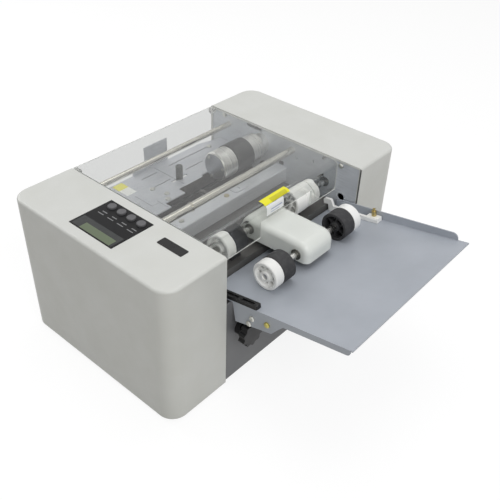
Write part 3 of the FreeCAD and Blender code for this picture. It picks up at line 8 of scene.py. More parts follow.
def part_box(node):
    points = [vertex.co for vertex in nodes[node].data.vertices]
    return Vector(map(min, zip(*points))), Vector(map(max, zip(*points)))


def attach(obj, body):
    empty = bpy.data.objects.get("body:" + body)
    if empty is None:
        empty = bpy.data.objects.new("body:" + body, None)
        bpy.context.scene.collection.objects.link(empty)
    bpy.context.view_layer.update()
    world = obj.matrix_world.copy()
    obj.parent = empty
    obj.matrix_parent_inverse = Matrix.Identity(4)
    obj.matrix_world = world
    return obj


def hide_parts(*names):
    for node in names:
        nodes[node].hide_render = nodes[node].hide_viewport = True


MM = 0.001

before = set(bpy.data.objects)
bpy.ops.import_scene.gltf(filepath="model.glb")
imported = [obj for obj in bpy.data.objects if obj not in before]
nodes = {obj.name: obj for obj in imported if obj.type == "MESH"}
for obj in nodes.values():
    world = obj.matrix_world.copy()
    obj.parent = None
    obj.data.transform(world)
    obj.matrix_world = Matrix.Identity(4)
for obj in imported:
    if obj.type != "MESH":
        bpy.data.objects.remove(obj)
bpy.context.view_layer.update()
scene = bpy.context.scene


# ---------------------------------------------------------------- colours and shader nodes

# A pattern's scale along X, Y and Z, the same each way.
EVEN = (1.0, 1.0, 1.0)


def linear(hex_code):
    """An sRGB hex value as the linear colour that Blender's sockets take."""
    parts = [int(hex_code[i:i + 2], 16) / 255 for i in (0, 2, 4)]
    straight = [p / 12.92 if p <= 0.04045 else ((p + 0.055) / 1.055) ** 2.4 for p in parts]
    return (*straight, 1.0)


def add_node(tree, kind, inputs=(), **settings):
    """One shader node. Inputs are (socket, value) pairs; a value may be another node's socket."""
    made = tree.nodes.new(kind)
    for name, value in settings.items():
        setattr(made, name, value)
    for socket, value in inputs:
        if isinstance(value, bpy.types.NodeSocket):
            tree.links.new(value, made.inputs[socket])
        else:
            made.inputs[socket].default_value = value
    return made


def new_finish(name, constants):
    """A material with its surface shader's constants set, and the piece's coordinates in metres."""
    made = bpy.data.materials.new(name)
    made.use_nodes = True
    tree = made.node_tree
    surface = tree.nodes["Principled BSDF"]
    for socket, value in constants:
        surface.inputs[socket].default_value = value
    place = add_node(tree, "ShaderNodeTexCoord").outputs["Object"]
    return made, tree, surface, place


def blotches(tree, place, size, detail, stretch):
    """Soft noise whose spots are about size millimetres across, drawn out where stretch is low."""
    spread = add_node(tree, "ShaderNodeMapping", [("Vector", place), ("Scale", stretch)])
    noise = add_node(tree, "ShaderNodeTexNoise", [
        ("Vector", spread.outputs[0]), ("Scale", 1 / (size * MM)), ("Detail", detail)])
    return noise.outputs["Fac"]


def uneven(tree, place, size, low=0.0, high=1.0, start=0.35, end=0.65, detail=3.0, stretch=EVEN):
    """Blotches as a run from low to high, where the noise goes from start to end."""
    ranged = add_node(tree, "ShaderNodeMapRange", [
        ("Value", blotches(tree, place, size, detail, stretch)),
        ("From Min", start), ("From Max", end), ("To Min", low), ("To Max", high)])
    return ranged.outputs[0]


def inside(tree, place, low, high):
    """One inside a box given in millimetres and nothing outside it."""
    split = add_node(tree, "ShaderNodeSeparateXYZ", [("Vector", place)])
    mask = 1.0
    for axis in range(3):
        middle = (low[axis] + high[axis]) / 2 * MM
        reach = (high[axis] - low[axis]) / 2 * MM
        within = add_node(tree, "ShaderNodeMath", [
            (0, split.outputs[axis]), (1, middle), (2, reach)], operation="COMPARE")
        both = add_node(tree, "ShaderNodeMath", [
            (0, within.outputs[0]), (1, mask)], operation="MULTIPLY")
        mask = both.outputs[0]
    return mask


def patched(tree, place, colour, patches):
    """A colour with another one inside each box, given as lowest corner, highest corner and hex."""
    for low, high, other in patches:
        mix = add_node(tree, "ShaderNodeMix", [
            ("Factor", inside(tree, place, low, high)), ("A", colour), ("B", linear(other))],
            data_type="RGBA")
        colour = mix.outputs["Result"]
    return colour


def coloured(tree, surface, place, factor, first, second, patches=()):
    """Colours a surface from first to second as a factor says, and otherwise inside each patch."""
    mix = add_node(tree, "ShaderNodeMix", [("Factor", factor), ("A", first), ("B", second)],
                   data_type="RGBA")
    colour = patched(tree, place, mix.outputs["Result"], patches)
    tree.links.new(colour, surface.inputs["Base Color"])


def grained(tree, surface, place, size, depth, detail=2.0, stretch=EVEN):
    """Raises a grain on a surface. Its size across and its depth are in millimetres."""
    bump = add_node(tree, "ShaderNodeBump", [
        ("Height", blotches(tree, place, size, detail, stretch)), ("Distance", depth * MM)])
    tree.links.new(bump.outputs[0], surface.inputs["Normal"])


# ---------------------------------------------------------------- kinds of finish

# Sizes and depths of patterns are in millimetres. Eroded grain, grinding marks and lathe rings are
# finer on the real surfaces, and are drawn coarse enough to show.

def moulded(name, light, dark, roughness, grain=0.8, depth=0.01, shine=0.5, patches=()):
    """Injection-moulded plastic: even colour, a faint cloudiness and a fine eroded grain."""
    made, tree, surface, place = new_finish(name, [("IOR", 1.53), ("Specular IOR Level", shine)])
    cloud = uneven(tree, place, size=45.0)
    coloured(tree, surface, place, cloud, linear(light), linear(dark), patches)
    rubbed = uneven(tree, place, size=12.0, low=roughness - 0.05, high=roughness + 0.05)
    tree.links.new(rubbed, surface.inputs["Roughness"])
    grained(tree, surface, place, grain, depth)
    return made


def powder_coat(name, light, dark, roughness):
    """Powder-coated sheet steel: orange-peel ripple about a millimetre wide, low sheen."""
    made, tree, surface, place = new_finish(name, [("Roughness", roughness), ("IOR", 1.52)])
    cloud = uneven(tree, place, size=60.0)
    coloured(tree, surface, place, cloud, linear(light), linear(dark))
    grained(tree, surface, place, size=1.4, depth=0.02)
    return made


def plated_sheet(name, light, dark, roughness, metallic, rolled, patches=()):
    """Zinc-plated or rolled steel sheet: milky metal with rolling marks along its low direction."""
    made, tree, surface, place = new_finish(name, [("Metallic", metallic)])
    streak = uneven(tree, place, size=3.0, detail=4.0, stretch=rolled)
    cloud = uneven(tree, place, size=30.0)
    tone = add_node(tree, "ShaderNodeMath", [(0, streak), (1, cloud)], operation="MULTIPLY")
    coloured(tree, surface, place, tone.outputs[0], linear(light), linear(dark), patches)
    worn = uneven(tree, place, size=3.0, low=roughness - 0.06, high=roughness + 0.08, detail=4.0,
                  stretch=rolled)
    tree.links.new(worn, surface.inputs["Roughness"])
    grained(tree, surface, place, size=1.2, depth=0.006, detail=3.0, stretch=rolled)
    return made


# A pattern that varies along X and hardly at all across it, which makes rings.
ABOUT_X = (1.0, 0.004, 0.004)


def turned_metal(name, light, dark, roughness, ring, patches=()):
    """Metal turned on a lathe about X: rings a ring's width apart, and faint stains over them."""
    made, tree, surface, place = new_finish(name, [("Metallic", 1.0)])
    stain = uneven(tree, place, size=16.0)
    coloured(tree, surface, place, stain, linear(light), linear(dark), patches)
    ringed = uneven(tree, place, size=ring, low=roughness - 0.03, high=roughness + 0.05,
                    start=0.3, end=0.7, detail=2.0, stretch=ABOUT_X)
    tree.links.new(ringed, surface.inputs["Roughness"])
    grained(tree, surface, place, size=ring, depth=0.0006, stretch=ABOUT_X)
    return made


def ground_rubber(name, light, dark, roughness):
    """Rubber ground to size: matt, with chalky dust in its fine cross marks."""
    made, tree, surface, place = new_finish(name, [("Roughness", roughness), ("IOR", 1.52)])
    dust = uneven(tree, place, size=5.0, start=0.45, end=0.75, detail=5.0)
    coloured(tree, surface, place, dust, linear(light), linear(dark))
    grained(tree, surface, place, size=0.7, depth=0.05, detail=3.0)
    return made


def clear_acrylic(name, tint):
    """Cast acrylic sheet: clear, faintly grey from handling, and lamps shine through it."""
    made, tree, surface, _ = new_finish(name, [
        ("Base Color", linear(tint)), ("Roughness", 0.015), ("IOR", 1.49),
        ("Transmission Weight", 1.0)])
    passing = add_node(tree, "ShaderNodeBsdfTransparent", [("Color", linear("F5F5F3"))])
    ray = add_node(tree, "ShaderNodeLightPath").outputs["Is Shadow Ray"]
    mix = add_node(tree, "ShaderNodeMixShader", [
        (0, ray), (1, surface.outputs[0]), (2, passing.outputs[0])])
    tree.links.new(mix.outputs[0], tree.nodes["Material Output"].inputs["Surface"])
    return made


def sawn_acrylic(name, light, dark):
    """The sheet's sawn and scraped edge: frosted milk white, its whiteness partly painted light for
    light that the sheet carries out through its edges.
    """
    made, tree, surface, place = new_finish(name, [
        ("Roughness", 0.4), ("IOR", 1.49), ("Transmission Weight", 0.25)])
    saw_marks = uneven(tree, place, size=1.5)
    coloured(tree, surface, place, saw_marks, linear(light), linear(dark))
    grained(tree, surface, place, size=0.8, depth=0.02)
    return made


def printed_film(name, ground, haze, patches, roughness=0.4, shine=0.5):
    """Printed polyester film: a flat ground with printed fields, faintly mottled, low gloss."""
    made, tree, surface, place = new_finish(name, [
        ("Roughness", roughness), ("IOR", 1.5), ("Specular IOR Level", shine)])
    print_colour = patched(tree, place, linear(ground), patches)
    faded = uneven(tree, place, size=6.0, high=0.08)
    coloured(tree, surface, place, faded, print_colour, linear(haze))
    return made


def plated_screws(name, zinc, dull, patches):
    """Zinc-plated screws, a few of them yellow-passivated: bright heads with dull blotches."""
    made, tree, surface, place = new_finish(name, [("Metallic", 1.0), ("Roughness", 0.32)])
    plating = patched(tree, place, linear(zinc), patches)
    worn = uneven(tree, place, size=2.0, high=0.35)
    coloured(tree, surface, place, worn, plating, linear(dull))
    grained(tree, surface, place, size=0.5, depth=0.006)
    return made


# ---------------------------------------------------------------- this machine's finishes

# Narrow marks, painted shade and printed fields, as the lowest and highest corners of boxes in
# millimetres.
# Painted shade: a dark line where the right shell meets the side plate's front edge.
SHELL_GAP_SHADE = ((126.9, -54.3, 143.0), (127.9, -52.0, 197.6))
# Painted shade: a dark patch where a notch in the right plate lies in shadow.
PLATE_NOTCH_SHADE = ((127.0, 73.0, 151.5), (131.0, 81.0, 157.0))
# Painted shade: a dark band on the deck's front lip, which lies in the gap's shadow.
DECK_LIP_SHADE = ((-128.0, 135.2, 130.0), (128.0, 135.8, 149.4))
# Painted shade: a dark strip on the beam's top where a slot and the gap behind the beam lie in
# shadow.
BEAM_SLOT_SHADE = ((50.0, 85.5, 149.0), (122.0, 88.7, 151.0))
MOTOR_FACE = ((31.75, 80.0, 140.0), (32.2, 145.0, 200.0))
BEAM_SCREWS = ((-60.0, 40.0, 148.0), (90.0, 100.0, 155.0))
FLANGE_SCREW = ((-135.0, -114.0, 118.0), (-116.0, -98.0, 142.0))
DISPLAY_CELL = ((-202.0, 52.0, 190.0), (-188.5, 103.0, 205.0))
YELLOW_BAR = ((-8.0, -30.0, 190.0), (22.0, -11.0, 205.0))
WHITE_LONG_BAR = ((-12.0, -30.0, 187.5), (9.0, 0.0, 189.3))
WHITE_SHORT_BAR = ((-12.0, -30.0, 183.8), (4.0, 0.0, 185.2))
DECK_LABEL_HALF = ((-80.0, 187.5, 140.0), (-50.0, 205.0, 160.0))

# Directions in which sheet was rolled or ground: marks run along the axis with the low number.
ALONG_X = (0.12, 1.0, 1.0)
ALONG_Y = (1.0, 0.12, 1.0)
ALONG_BLADE = (1.0, 0.1, 1.0)

# Pale moulded ABS shells, eroded in the tool: soft low sheen, and a dark line of painted shade in
# the gap at the shell's inner front edge.
HOUSING_ABS = moulded("housing_moulded_abs", "D6D7D3", "D2D3CE", roughness=0.42, grain=1.1,
                      depth=0.012, patches=[(*SHELL_GAP_SHADE, "4C4C4B")])
# Zinc-plated steel plates: milky blue-grey metal, with a dark patch of painted shade at a notch in
# the right plate.
PLATE_ZINC = plated_sheet("side_plate_zinc", "CCD0D6", "C1C5CB", roughness=0.5, metallic=0.35,
                          rolled=ALONG_Y, patches=[(*PLATE_NOTCH_SHADE, "3F3D3B")])
# Powder-coated pan and guide: mid grey, low sheen.
PAN_PAINT = powder_coat("floor_pan_powder_coat", "5E5D5B", "575654", roughness=0.5)
# Powder-coated front panel: dark grey.
APRON_PAINT = powder_coat("apron_dark_powder_coat", "68696B", "606164", roughness=0.45)
# Powder-coated tray: light blue-grey.
TRAY_PAINT = powder_coat("tray_grey_powder_coat", "ABB0B8", "A3A8B0", roughness=0.45)
# Ground bar, nickel-plated: a soft cream shine along the top.
ROD_STEEL = turned_metal("ground_nickel_rod", "F3EFE4", "E6E2D8", roughness=0.16, ring=1.5)
# Zinc-plated deck and beam: brighter than the plates, with rolling marks and painted shade on the
# deck's front lip.
DECK_ZINC = plated_sheet("deck_zinc_sheet", "C5C7CD", "BABDC3", roughness=0.5, metallic=0.5,
                         rolled=ALONG_X, patches=[(*DECK_LIP_SHADE, "625E59")])
# The beam's dark strip is painted shade, standing for a slot and the gap behind the beam in shadow.
BEAM_ZINC = plated_sheet("beam_zinc_sheet", "D0D2D7", "C4C7CC", roughness=0.5, metallic=0.35,
                         rolled=ALONG_X, patches=[(*BEAM_SLOT_SHADE, "56534F")])
# Die-cast end parts of the motor: bright rings round the side and a duller face.
MOTOR_ALLOY = turned_metal("motor_die_cast_alloy", "F2F1ED", "E2E1DD", roughness=0.28, ring=0.8,
                           patches=[(*MOTOR_FACE, "B7BABF")])
# Blackened steel can of the motor: dark, with a broad dull shine.
MOTOR_STEEL = turned_metal("motor_can_blackened_steel", "4E4F4F", "434444", roughness=0.45,
                           ring=0.8)
# Ground rubber tyres and belts: matt and near black.
RUBBER = ground_rubber("ground_rubber", "2B2B2D", "3B3B3C", roughness=0.75)
# Moulded rubber feet: blacker and duller still.
FOOT_RUBBER = ground_rubber("foot_rubber", "202021", "2A2A2B", roughness=0.85)
# Black moulded ABS guides and knob: dark, with little shine.
BLACK_ABS = moulded("black_moulded_abs", "1A1A1B", "202021", roughness=0.4, grain=0.6, shine=0.25)
# White moulded nylon wheels and guide: waxy, a little warm.
NYLON = moulded("white_moulded_nylon", "F8F8F6", "F0F0ED", roughness=0.38, grain=0.9)
# Pale ABS cover of the arm, smoother than the housings.
ARM_ABS = moulded("arm_moulded_abs", "E2E5E0", "DDE0DB", roughness=0.35, grain=1.0, depth=0.008)
# Turned brass thumb screw: warm yellow metal.
BRASS = turned_metal("turned_brass", "CDBB88", "BCA973", roughness=0.3, ring=0.5)
# Oil-soaked sintered steel bushes: dark and dull.
BUSH_STEEL = turned_metal("sintered_bush_steel", "7D7C77", "6E6D68", roughness=0.5, ring=0.5)
# Ground steel shafts: a clean, narrow shine.
SHAFT_STEEL = turned_metal("ground_shaft_steel", "C9C8C5", "B9B8B5", roughness=0.25, ring=1.0)
# Hobbed steel gears: darker, as if oiled.
GEAR_STEEL = turned_metal("hobbed_gear_steel", "8F8F90", "7D7D7E", roughness=0.35, ring=0.8)
# Turned aluminium pulley and drawn rail: light and clean.
PULLEY_ALLOY = turned_metal("pulley_alloy", "CFCFCE", "BFBFBE", roughness=0.3, ring=0.6)
# Blued tool steel: dark brown-grey, with streaks from its grinding.
BLADE_STEEL = plated_sheet("blued_blade_steel", "6E6B68", "5E5C59", roughness=0.42, metallic=1.0,
                           rolled=ALONG_BLADE)
# Zinc-plated screws: bright grey heads, and brassy ones on the beam and the tray's flange.
SCREWS = plated_screws("zinc_plated_screws", "D6D6D0", "8A8880", [
    (*BEAM_SCREWS, "C9BFA2"), (*FLANGE_SCREW, "C8BC62")])
# Cast acrylic lid: see-through, with a faint grey veil and a mirror at low angles.
ACRYLIC = clear_acrylic("clear_acrylic_sheet", "D2D3D2")
# Its sawn edges: the milk-white line that draws the sheet's outline, partly frosting and partly
# painted light.
ACRYLIC_EDGE = sawn_acrylic("sawn_acrylic_edge", "F4F5F2", "E4E5E2")
# Dark membrane film over the panel's frame: near black, no glare.
PANEL_FILM = moulded("panel_membrane_film", "1A1A1B", "161617", roughness=0.42, grain=0.5,
                     depth=0.006, shine=0.12)
# Display: a grey-green cell under a dark-framed glass.
DISPLAY_GLASS = printed_film("display_glass", "303232", "6A6C6A", [(*DISPLAY_CELL, "667259")],
                             roughness=0.25, shine=0.3)
# Rubbed grey ABS push buttons: soft and dull.
BUTTON_ABS = moulded("button_moulded_abs", "636365", "5C5C5E", roughness=0.5, grain=0.6,
                     depth=0.006, shine=0.3)
# Polished black rocker: a sharp highlight.
ROCKER_ABS = moulded("rocker_moulded_abs", "151516", "1A1A1B", roughness=0.25, depth=0.004)
# Moulded stop post: dull green-grey.
POST_ABS = moulded("stop_post_moulded", "4A4C49", "424441", roughness=0.5, grain=0.6)
# Pale ink of the short dashes beside the buttons: flat and faint.
PANEL_INK = moulded("pale_screen_ink", "88898A", "7A7B7C", roughness=0.5, grain=0.5, depth=0.002,
                    shine=0.3)
# Plain badge blank, black anodised: smooth and dark.
BADGE_BLACK = moulded("black_anodised_badge", "141314", "191819", roughness=0.3, grain=0.4,
                      depth=0.004, shine=0.25)
# Yellow label film: strong colour, low gloss, one plain darker bar.
YELLOW_LABEL = printed_film("yellow_polyester_label", "F0E91F", "F0E91F", [
    (*YELLOW_BAR, "C9C20C")])
# White label film: low gloss, two plain blue-grey bars.
WHITE_LABEL = printed_film("white_polyester_label", "F4F5F5", "F4F5F5", [
    (*WHITE_LONG_BAR, "A9B3CC"), (*WHITE_SHORT_BAR, "B9C0D0")])
# Deck label film: half white and half pale yellow.
DECK_LABEL = printed_film("deck_polyester_label", "F1F2EF", "F1F2EF", [
    (*DECK_LABEL_HALF, "EDE656")])

FINISHES = {
    HOUSING_ABS: ("left_housing", "right_housing"),
    PLATE_ZINC: ("left_side_plate", "right_side_plate"),
    PAN_PAINT: ("base_plate", "infeed_guide"),
    APRON_PAINT: ("front_lower_panel",),
    TRAY_PAINT: ("feed_tray",),
    ROD_STEEL: ("front_tie_rod", "rear_tie_rod"),
    DECK_ZINC: ("guide_deck",),
    BEAM_ZINC: ("cross_beam", "beam_bracket"),
    MOTOR_ALLOY: ("motor_end_cap", "motor_gearbox"),
    MOTOR_STEEL: ("motor_can",),
    RUBBER: ("separation_pads", "front_left_tyre", "front_right_tyre", "rear_left_tyre",
             "arm_belt", "feed_belt"),
    FOOT_RUBBER: ("rubber_feet",),
    BLACK_ABS: ("left_sheet_guide", "arm_base_plate", "skew_knob", "power_inlet"),
    NYLON: ("right_sheet_guide", "front_left_wheel", "front_right_wheel", "rear_left_wheel",
            "rear_right_wheel", "rear_right_tyre"),
    ARM_ABS: ("arm_housing",),
    BRASS: ("thumb_screw",),
    BUSH_STEEL: ("shaft_bushings", "arm_bushings"),
    SHAFT_STEEL: ("front_roller_shaft", "rear_feed_shaft", "upper_slitter_shaft",
                  "lower_slitter_shaft", "cover_pins"),
    GEAR_STEEL: ("motor_gear", "upper_slitter_gear", "lower_slitter_gear"),
    PULLEY_ALLOY: ("feed_pulley",),
    BLADE_STEEL: ("upper_slitter_blades", "lower_slitter_blades", "guillotine_blade",
                  "counter_blade"),
    SCREWS: ("frame_screws",),
    ACRYLIC: ("clear_cover",),
    PANEL_FILM: ("panel_bezel",),
    DISPLAY_GLASS: ("display_window",),
    BUTTON_ABS: ("feed_button", "up_button", "down_button", "stop_button"),
    ROCKER_ABS: ("rocker_switch",),
    POST_ABS: ("deck_stop_knob",),
}
for finish, names in FINISHES.items():
    for name in names:
        mesh = nodes[name].data
        mesh.materials.clear()
        mesh.materials.append(finish)


# ---------------------------------------------------------------- pieces made here

def as_piece(name, shape, finishes, body):
    """Turns an edited mesh into a piece that rides on a body."""
    data = bpy.data.meshes.new(name)
    shape.to_mesh(data)
    shape.free()
    for finish in finishes:
        data.materials.append(finish)
    piece = bpy.data.objects.new(name, data)
    scene.collection.objects.link(piece)
    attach(piece, body)
    return piece


def flat_plates(name, plates, thickness, corner, finish):
    """Thin plates with rounded corners, each given in millimetres as (x0, x1, y0, y1, z)."""
    shape = bmesh.new()
    for x0, x1, y0, y1, z in plates:
        made = bmesh.ops.create_grid(shape, x_segments=1, y_segments=1, size=0.5 * MM)
        corners = made["verts"]
        middle = Vector(((x0 + x1) / 2, (y0 + y1) / 2, z)) * MM
        bmesh.ops.scale(shape, verts=corners, vec=(x1 - x0, y1 - y0, 1.0))
        bmesh.ops.translate(shape, verts=corners, vec=middle)
        outline = bmesh.ops.bevel(shape, geom=corners, offset=corner * MM, segments=5,
                                  profile=0.5, affect="VERTICES", material=-1)
        faces = [f for f in shape.faces if set(f.verts) & set(outline["verts"])]
        raised = bmesh.ops.extrude_face_region(shape, geom=faces, use_keep_orig=True)
        top = [v for v in raised["geom"] if isinstance(v, bmesh.types.BMVert)]
        bmesh.ops.translate(shape, verts=top, vec=(0.0, 0.0, thickness * MM))
    bmesh.ops.recalc_face_normals(shape, faces=shape.faces)
    as_piece(name, shape, [finish], "root")


# The clear lid's corners, the radius of its bend and its sheet's thickness, in millimetres.
COVER_LOW, COVER_HIGH = (Vector(corner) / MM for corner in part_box("clear_cover"))
COVER_BEND = 8.0
COVER_SHEET = 2.5
# A label's film and the glue under it, in millimetres, and the facets round its bend.
LABEL_FILM = 0.12
LABEL_GAP = 0.03
LABEL_STEPS = 10
# Edges that turn by more than this many degrees stay sharp.
LABEL_CREASE = 35
LID_CREASE = 30
SIDEWAYS = Vector((1.0, 0.0, 0.0))


def bend_label(name, left, right, first, last, run_in, run_out, finish):
    """A label round the lid's bend, from a first angle to a last, with flat runs at its ends."""
    shape = bmesh.new()
    centre = Vector((left, COVER_LOW.y + COVER_BEND, COVER_HIGH.z - COVER_BEND)) * MM
    out_first, out_last = (
        Matrix.Rotation(math.radians(angle), 3, "X") @ Vector((0.0, 0.0, 1.0))
        for angle in (first, last))
    start = shape.verts.new(centre + out_first * (COVER_BEND + LABEL_GAP) * MM)
    turned = bmesh.ops.spin(shape, geom=[start], cent=centre, axis=SIDEWAYS,
                            angle=math.radians(last - first), steps=LABEL_STEPS)
    tip = [v for v in turned["geom_last"] if isinstance(v, bmesh.types.BMVert)]
    ends = (([start], run_in, out_first.cross(SIDEWAYS)),
            (tip, run_out, -out_last.cross(SIDEWAYS)))
    for verts, run, way in ends:
        if run:
            more = bmesh.ops.extrude_vert_indiv(shape, verts=verts)
            bmesh.ops.translate(shape, verts=more["verts"], vec=way * run * MM)
    wide = bmesh.ops.extrude_edge_only(shape, edges=shape.edges[:])
    moved = [v for v in wide["geom"] if isinstance(v, bmesh.types.BMVert)]
    bmesh.ops.translate(shape, verts=moved, vec=SIDEWAYS * (right - left) * MM)
    bmesh.ops.recalc_face_normals(shape, faces=shape.faces)
    middle = centre + SIDEWAYS * (right - left) / 2 * MM
    if sum((f.calc_center_median() - middle).dot(f.normal) for f in shape.faces) < 0:
        bmesh.ops.reverse_faces(shape, faces=shape.faces)
    bmesh.ops.solidify(shape, geom=shape.faces[:], thickness=-LABEL_FILM * MM)
    bmesh.ops.recalc_face_normals(shape, faces=shape.faces)
    for face in shape.faces:
        face.smooth = True
    for edge in shape.edges:
        edge.smooth = edge.calc_face_angle(0.0) < math.radians(LABEL_CREASE)
    as_piece(name, shape, [finish], "cover")


# Where the lid's sawn edges lie, in millimetres: the front hem's depth, the strip along the back,
# and how far the hem is below the top. Then the distance within which doubles are merged.
HEM_DEPTH = COVER_SHEET + 0.5
BACK_STRIP = 6.0
UNDER_BEND = COVER_BEND + 1.0
DOUBLES = 0.002
# How much of a face's normal is along an axis: mostly, and for a face that lies square to it.
FACING = 0.7
SQUARE = 0.9995


def cover_sheet():
    """The clear lid with its doubles merged: smooth round its bend, and milky on its sawn edges,
    partly with painted light.
    """
    shape = bmesh.new()
    shape.from_mesh(nodes["clear_cover"].data)
    bmesh.ops.remove_doubles(shape, verts=shape.verts, dist=DOUBLES * MM)
    front = (COVER_LOW.y + HEM_DEPTH) * MM
    rear = (COVER_HIGH.y - BACK_STRIP) * MM
    under = (COVER_HIGH.z - UNDER_BEND) * MM
    for face in shape.faces:
        normal = face.normal
        place = face.calc_center_median()
        face.smooth = max(abs(part) for part in normal) < SQUARE
        side = abs(normal.x) > FACING and place.y < rear
        hem = normal.z < -FACING and place.z < under and place.y < front
        back = normal.y > FACING and place.y > rear
        face.material_index = 1 if side or hem or back else 0
    for edge in shape.edges:
        edge.smooth = edge.calc_face_angle(0.0) < math.radians(LID_CREASE)
    made = as_piece("cover_sheet", shape, [ACRYLIC, ACRYLIC_EDGE], "cover")
    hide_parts("clear_cover")


cover_sheet()
bend_label("cover_yellow_label", left=-21.0, right=26.0, first=0.0, last=46.0,
           run_in=4.5, run_out=0.0, finish=YELLOW_LABEL)
bend_label("cover_white_label", left=-20.0, right=12.0, first=50.0, last=90.0,
           run_in=0.0, run_out=8.0, finish=WHITE_LABEL)

DECK_TOP = 150.0
flat_plates("deck_label", [(-76.0, -60.0, 171.0, 202.0, DECK_TOP)], thickness=0.15, corner=1.0,
            finish=DECK_LABEL)

HOUSING_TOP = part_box("left_housing")[1][2] / MM
flat_plates("blank_badge", [(-160.2, -147.8, -18.0, 19.5, HOUSING_TOP)], thickness=0.6,
            corner=1.2, finish=BADGE_BLACK)

# The curtain behind the guillotine, in millimetres: rubber strips that hang from a rail. A half is
# half a width, front and back are along Y, and a foot is a lower edge.
CURTAIN_HALF = 127.6
CURTAIN_STRIPS = 14
CURTAIN_FRONT, CURTAIN_BACK = 147.6, 148.4
CURTAIN_FOOT, CURTAIN_HEIGHT = 101.0, 31.0
STRIP_GAP = 0.6
RAIL_HALF = 128.1
RAIL_FRONT, RAIL_BACK = 146.4, 149.6
RAIL_FOOT, RAIL_HEIGHT = 131.5, 3.5

strip = 2 * CURTAIN_HALF / CURTAIN_STRIPS
curtain = []
for i in range(CURTAIN_STRIPS):
    left = -CURTAIN_HALF + strip * i
    curtain.append((left + STRIP_GAP / 2, left + strip - STRIP_GAP / 2,
                    CURTAIN_FRONT, CURTAIN_BACK, CURTAIN_FOOT))
flat_plates("exit_curtain", curtain, thickness=CURTAIN_HEIGHT, corner=0.3, finish=RUBBER)
flat_plates("exit_curtain_rail", [(-RAIL_HALF, RAIL_HALF, RAIL_FRONT, RAIL_BACK, RAIL_FOOT)],
            thickness=RAIL_HEIGHT, corner=0.4, finish=PULLEY_ALLOY)

# Two short dashes beside each button, where the real panel has a word.
PANEL_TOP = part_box("panel_bezel")[1][2] / MM
BUTTON_ROWS = (106.4, 89.7, 73.0, 56.3)
dashes = []
for row in BUTTON_ROWS:
    dashes.append((-162.3, -161.0, row - 6.0, row + 2.0, PANEL_TOP))
    dashes.append((-167.0, -165.8, row - 5.5, row + 4.5, PANEL_TOP))
flat_plates("panel_dashes", dashes, thickness=0.04, corner=0.4, finish=PANEL_INK)


# ---------------------------------------------------------------- floor, light and camera

# Half the floor's width in metres, and its own light where it is seen.
FLOOR_HALF = 8.0
FLOOR_GLOW = 0.85
# The world's strength where it lights things. It is 1, white, where it is seen or mirrored.
DAYLIGHT = 0.32


def lit_floor():
    """Pale floor: near white where it is seen or mirrored, darker where it throws light back."""
    made, tree, surface, place = new_finish("studio_floor", [
        ("Roughness", 0.9), ("Specular IOR Level", 0.0), ("Emission Color", linear("FFFFFF"))])
    path = add_node(tree, "ShaderNodeLightPath")
    shown = add_node(tree, "ShaderNodeMath", [
        (0, path.outputs["Is Diffuse Ray"]), (1, -1.0), (2, 1.0)], operation="MULTIPLY_ADD")
    glow = add_node(tree, "ShaderNodeMath", [(0, shown.outputs[0]), (1, FLOOR_GLOW)],
                    operation="MULTIPLY")
    coloured(tree, surface, place, shown.outputs[0], linear("9D9B95"), linear("7A7A7A"))
    tree.links.new(glow.outputs[0], surface.inputs["Emission Strength"])
    return made


floor_mesh = bmesh.new()
bmesh.ops.create_grid(floor_mesh, x_segments=1, y_segments=1, size=FLOOR_HALF)
floor_data = bpy.data.meshes.new("floor")
floor_mesh.to_mesh(floor_data)
floor_mesh.free()
floor = bpy.data.objects.new("floor", floor_data)
scene.collection.objects.link(floor)
floor_data.materials.append(lit_floor())

world = bpy.data.worlds.new("studio")
scene.world = world
world.use_nodes = True
tree = world.node_tree
path = add_node(tree, "ShaderNodeLightPath")
strength = add_node(tree, "ShaderNodeMath", [
    (0, path.outputs["Is Diffuse Ray"]), (1, DAYLIGHT - 1.0), (2, 1.0)], operation="MULTIPLY_ADD")
sky = tree.nodes["Background"]
sky.inputs["Color"].default_value = linear("FFFFFF")
tree.links.new(strength.outputs[0], sky.inputs["Strength"])


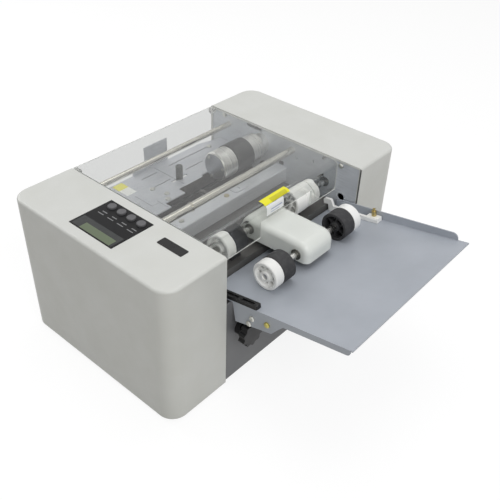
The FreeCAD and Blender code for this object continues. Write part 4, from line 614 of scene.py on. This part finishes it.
def softbox(name, spot, aim, width, height, power):
    """A white rectangular lamp, in metres and watts, that faces the point it aims at."""
    lamp = bpy.data.lights.new(name, "AREA")
    lamp.shape = "RECTANGLE"
    lamp.size = width
    lamp.size_y = height
    lamp.energy = power
    holder = bpy.data.objects.new(name, lamp)
    scene.collection.objects.link(holder)
    holder.location = spot
    facing = (Vector(aim) - Vector(spot)).to_track_quat("-Z", "Y")
    holder.rotation_euler = facing.to_euler()


softbox("key_softbox", spot=(0.4, 0.2, 1.9), aim=(0.0, 0.0, 0.15),
        width=1.4, height=1.4, power=11.0)
softbox("front_softbox", spot=(-0.66, -1.32, 1.35), aim=(0.0, 0.0, 0.12),
        width=1.0, height=1.0, power=15.5)
softbox("rear_softbox", spot=(-0.15, 1.8, 1.0), aim=(0.0, 0.0, 0.12),
        width=1.1, height=0.9, power=8.0)

# The camera's place in metres, its turns in radians, and its lens and sensor in millimetres.
CAMERA_SPOT = Vector((-0.546091, -0.436476, 0.641388))
AZIMUTH = 0.872905
PITCH = 0.650281
ROLL = 0.037845
FOCAL_LENGTH = 49.031
SENSOR_WIDTH = 36.0

forward = Vector((math.sin(AZIMUTH) * math.cos(PITCH), math.cos(AZIMUTH) * math.cos(PITCH),
                  -math.sin(PITCH)))
level = Vector((math.cos(AZIMUTH), -math.sin(AZIMUTH), 0.0))
upward = level.cross(forward)
right = math.cos(ROLL) * level + math.sin(ROLL) * upward
up = math.cos(ROLL) * upward - math.sin(ROLL) * level
lens = bpy.data.cameras.new("camera")
lens.sensor_width = SENSOR_WIDTH
lens.lens = FOCAL_LENGTH
lens.clip_start = 0.05
camera = bpy.data.objects.new("camera", lens)
scene.collection.objects.link(camera)
camera.matrix_world = Matrix((
    (right.x, up.x, -forward.x, CAMERA_SPOT.x),
    (right.y, up.y, -forward.y, CAMERA_SPOT.y),
    (right.z, up.z, -forward.z, CAMERA_SPOT.z),
    (0.0, 0.0, 0.0, 1.0)))
scene.camera = camera
scene.view_settings.view_transform = "Standard"
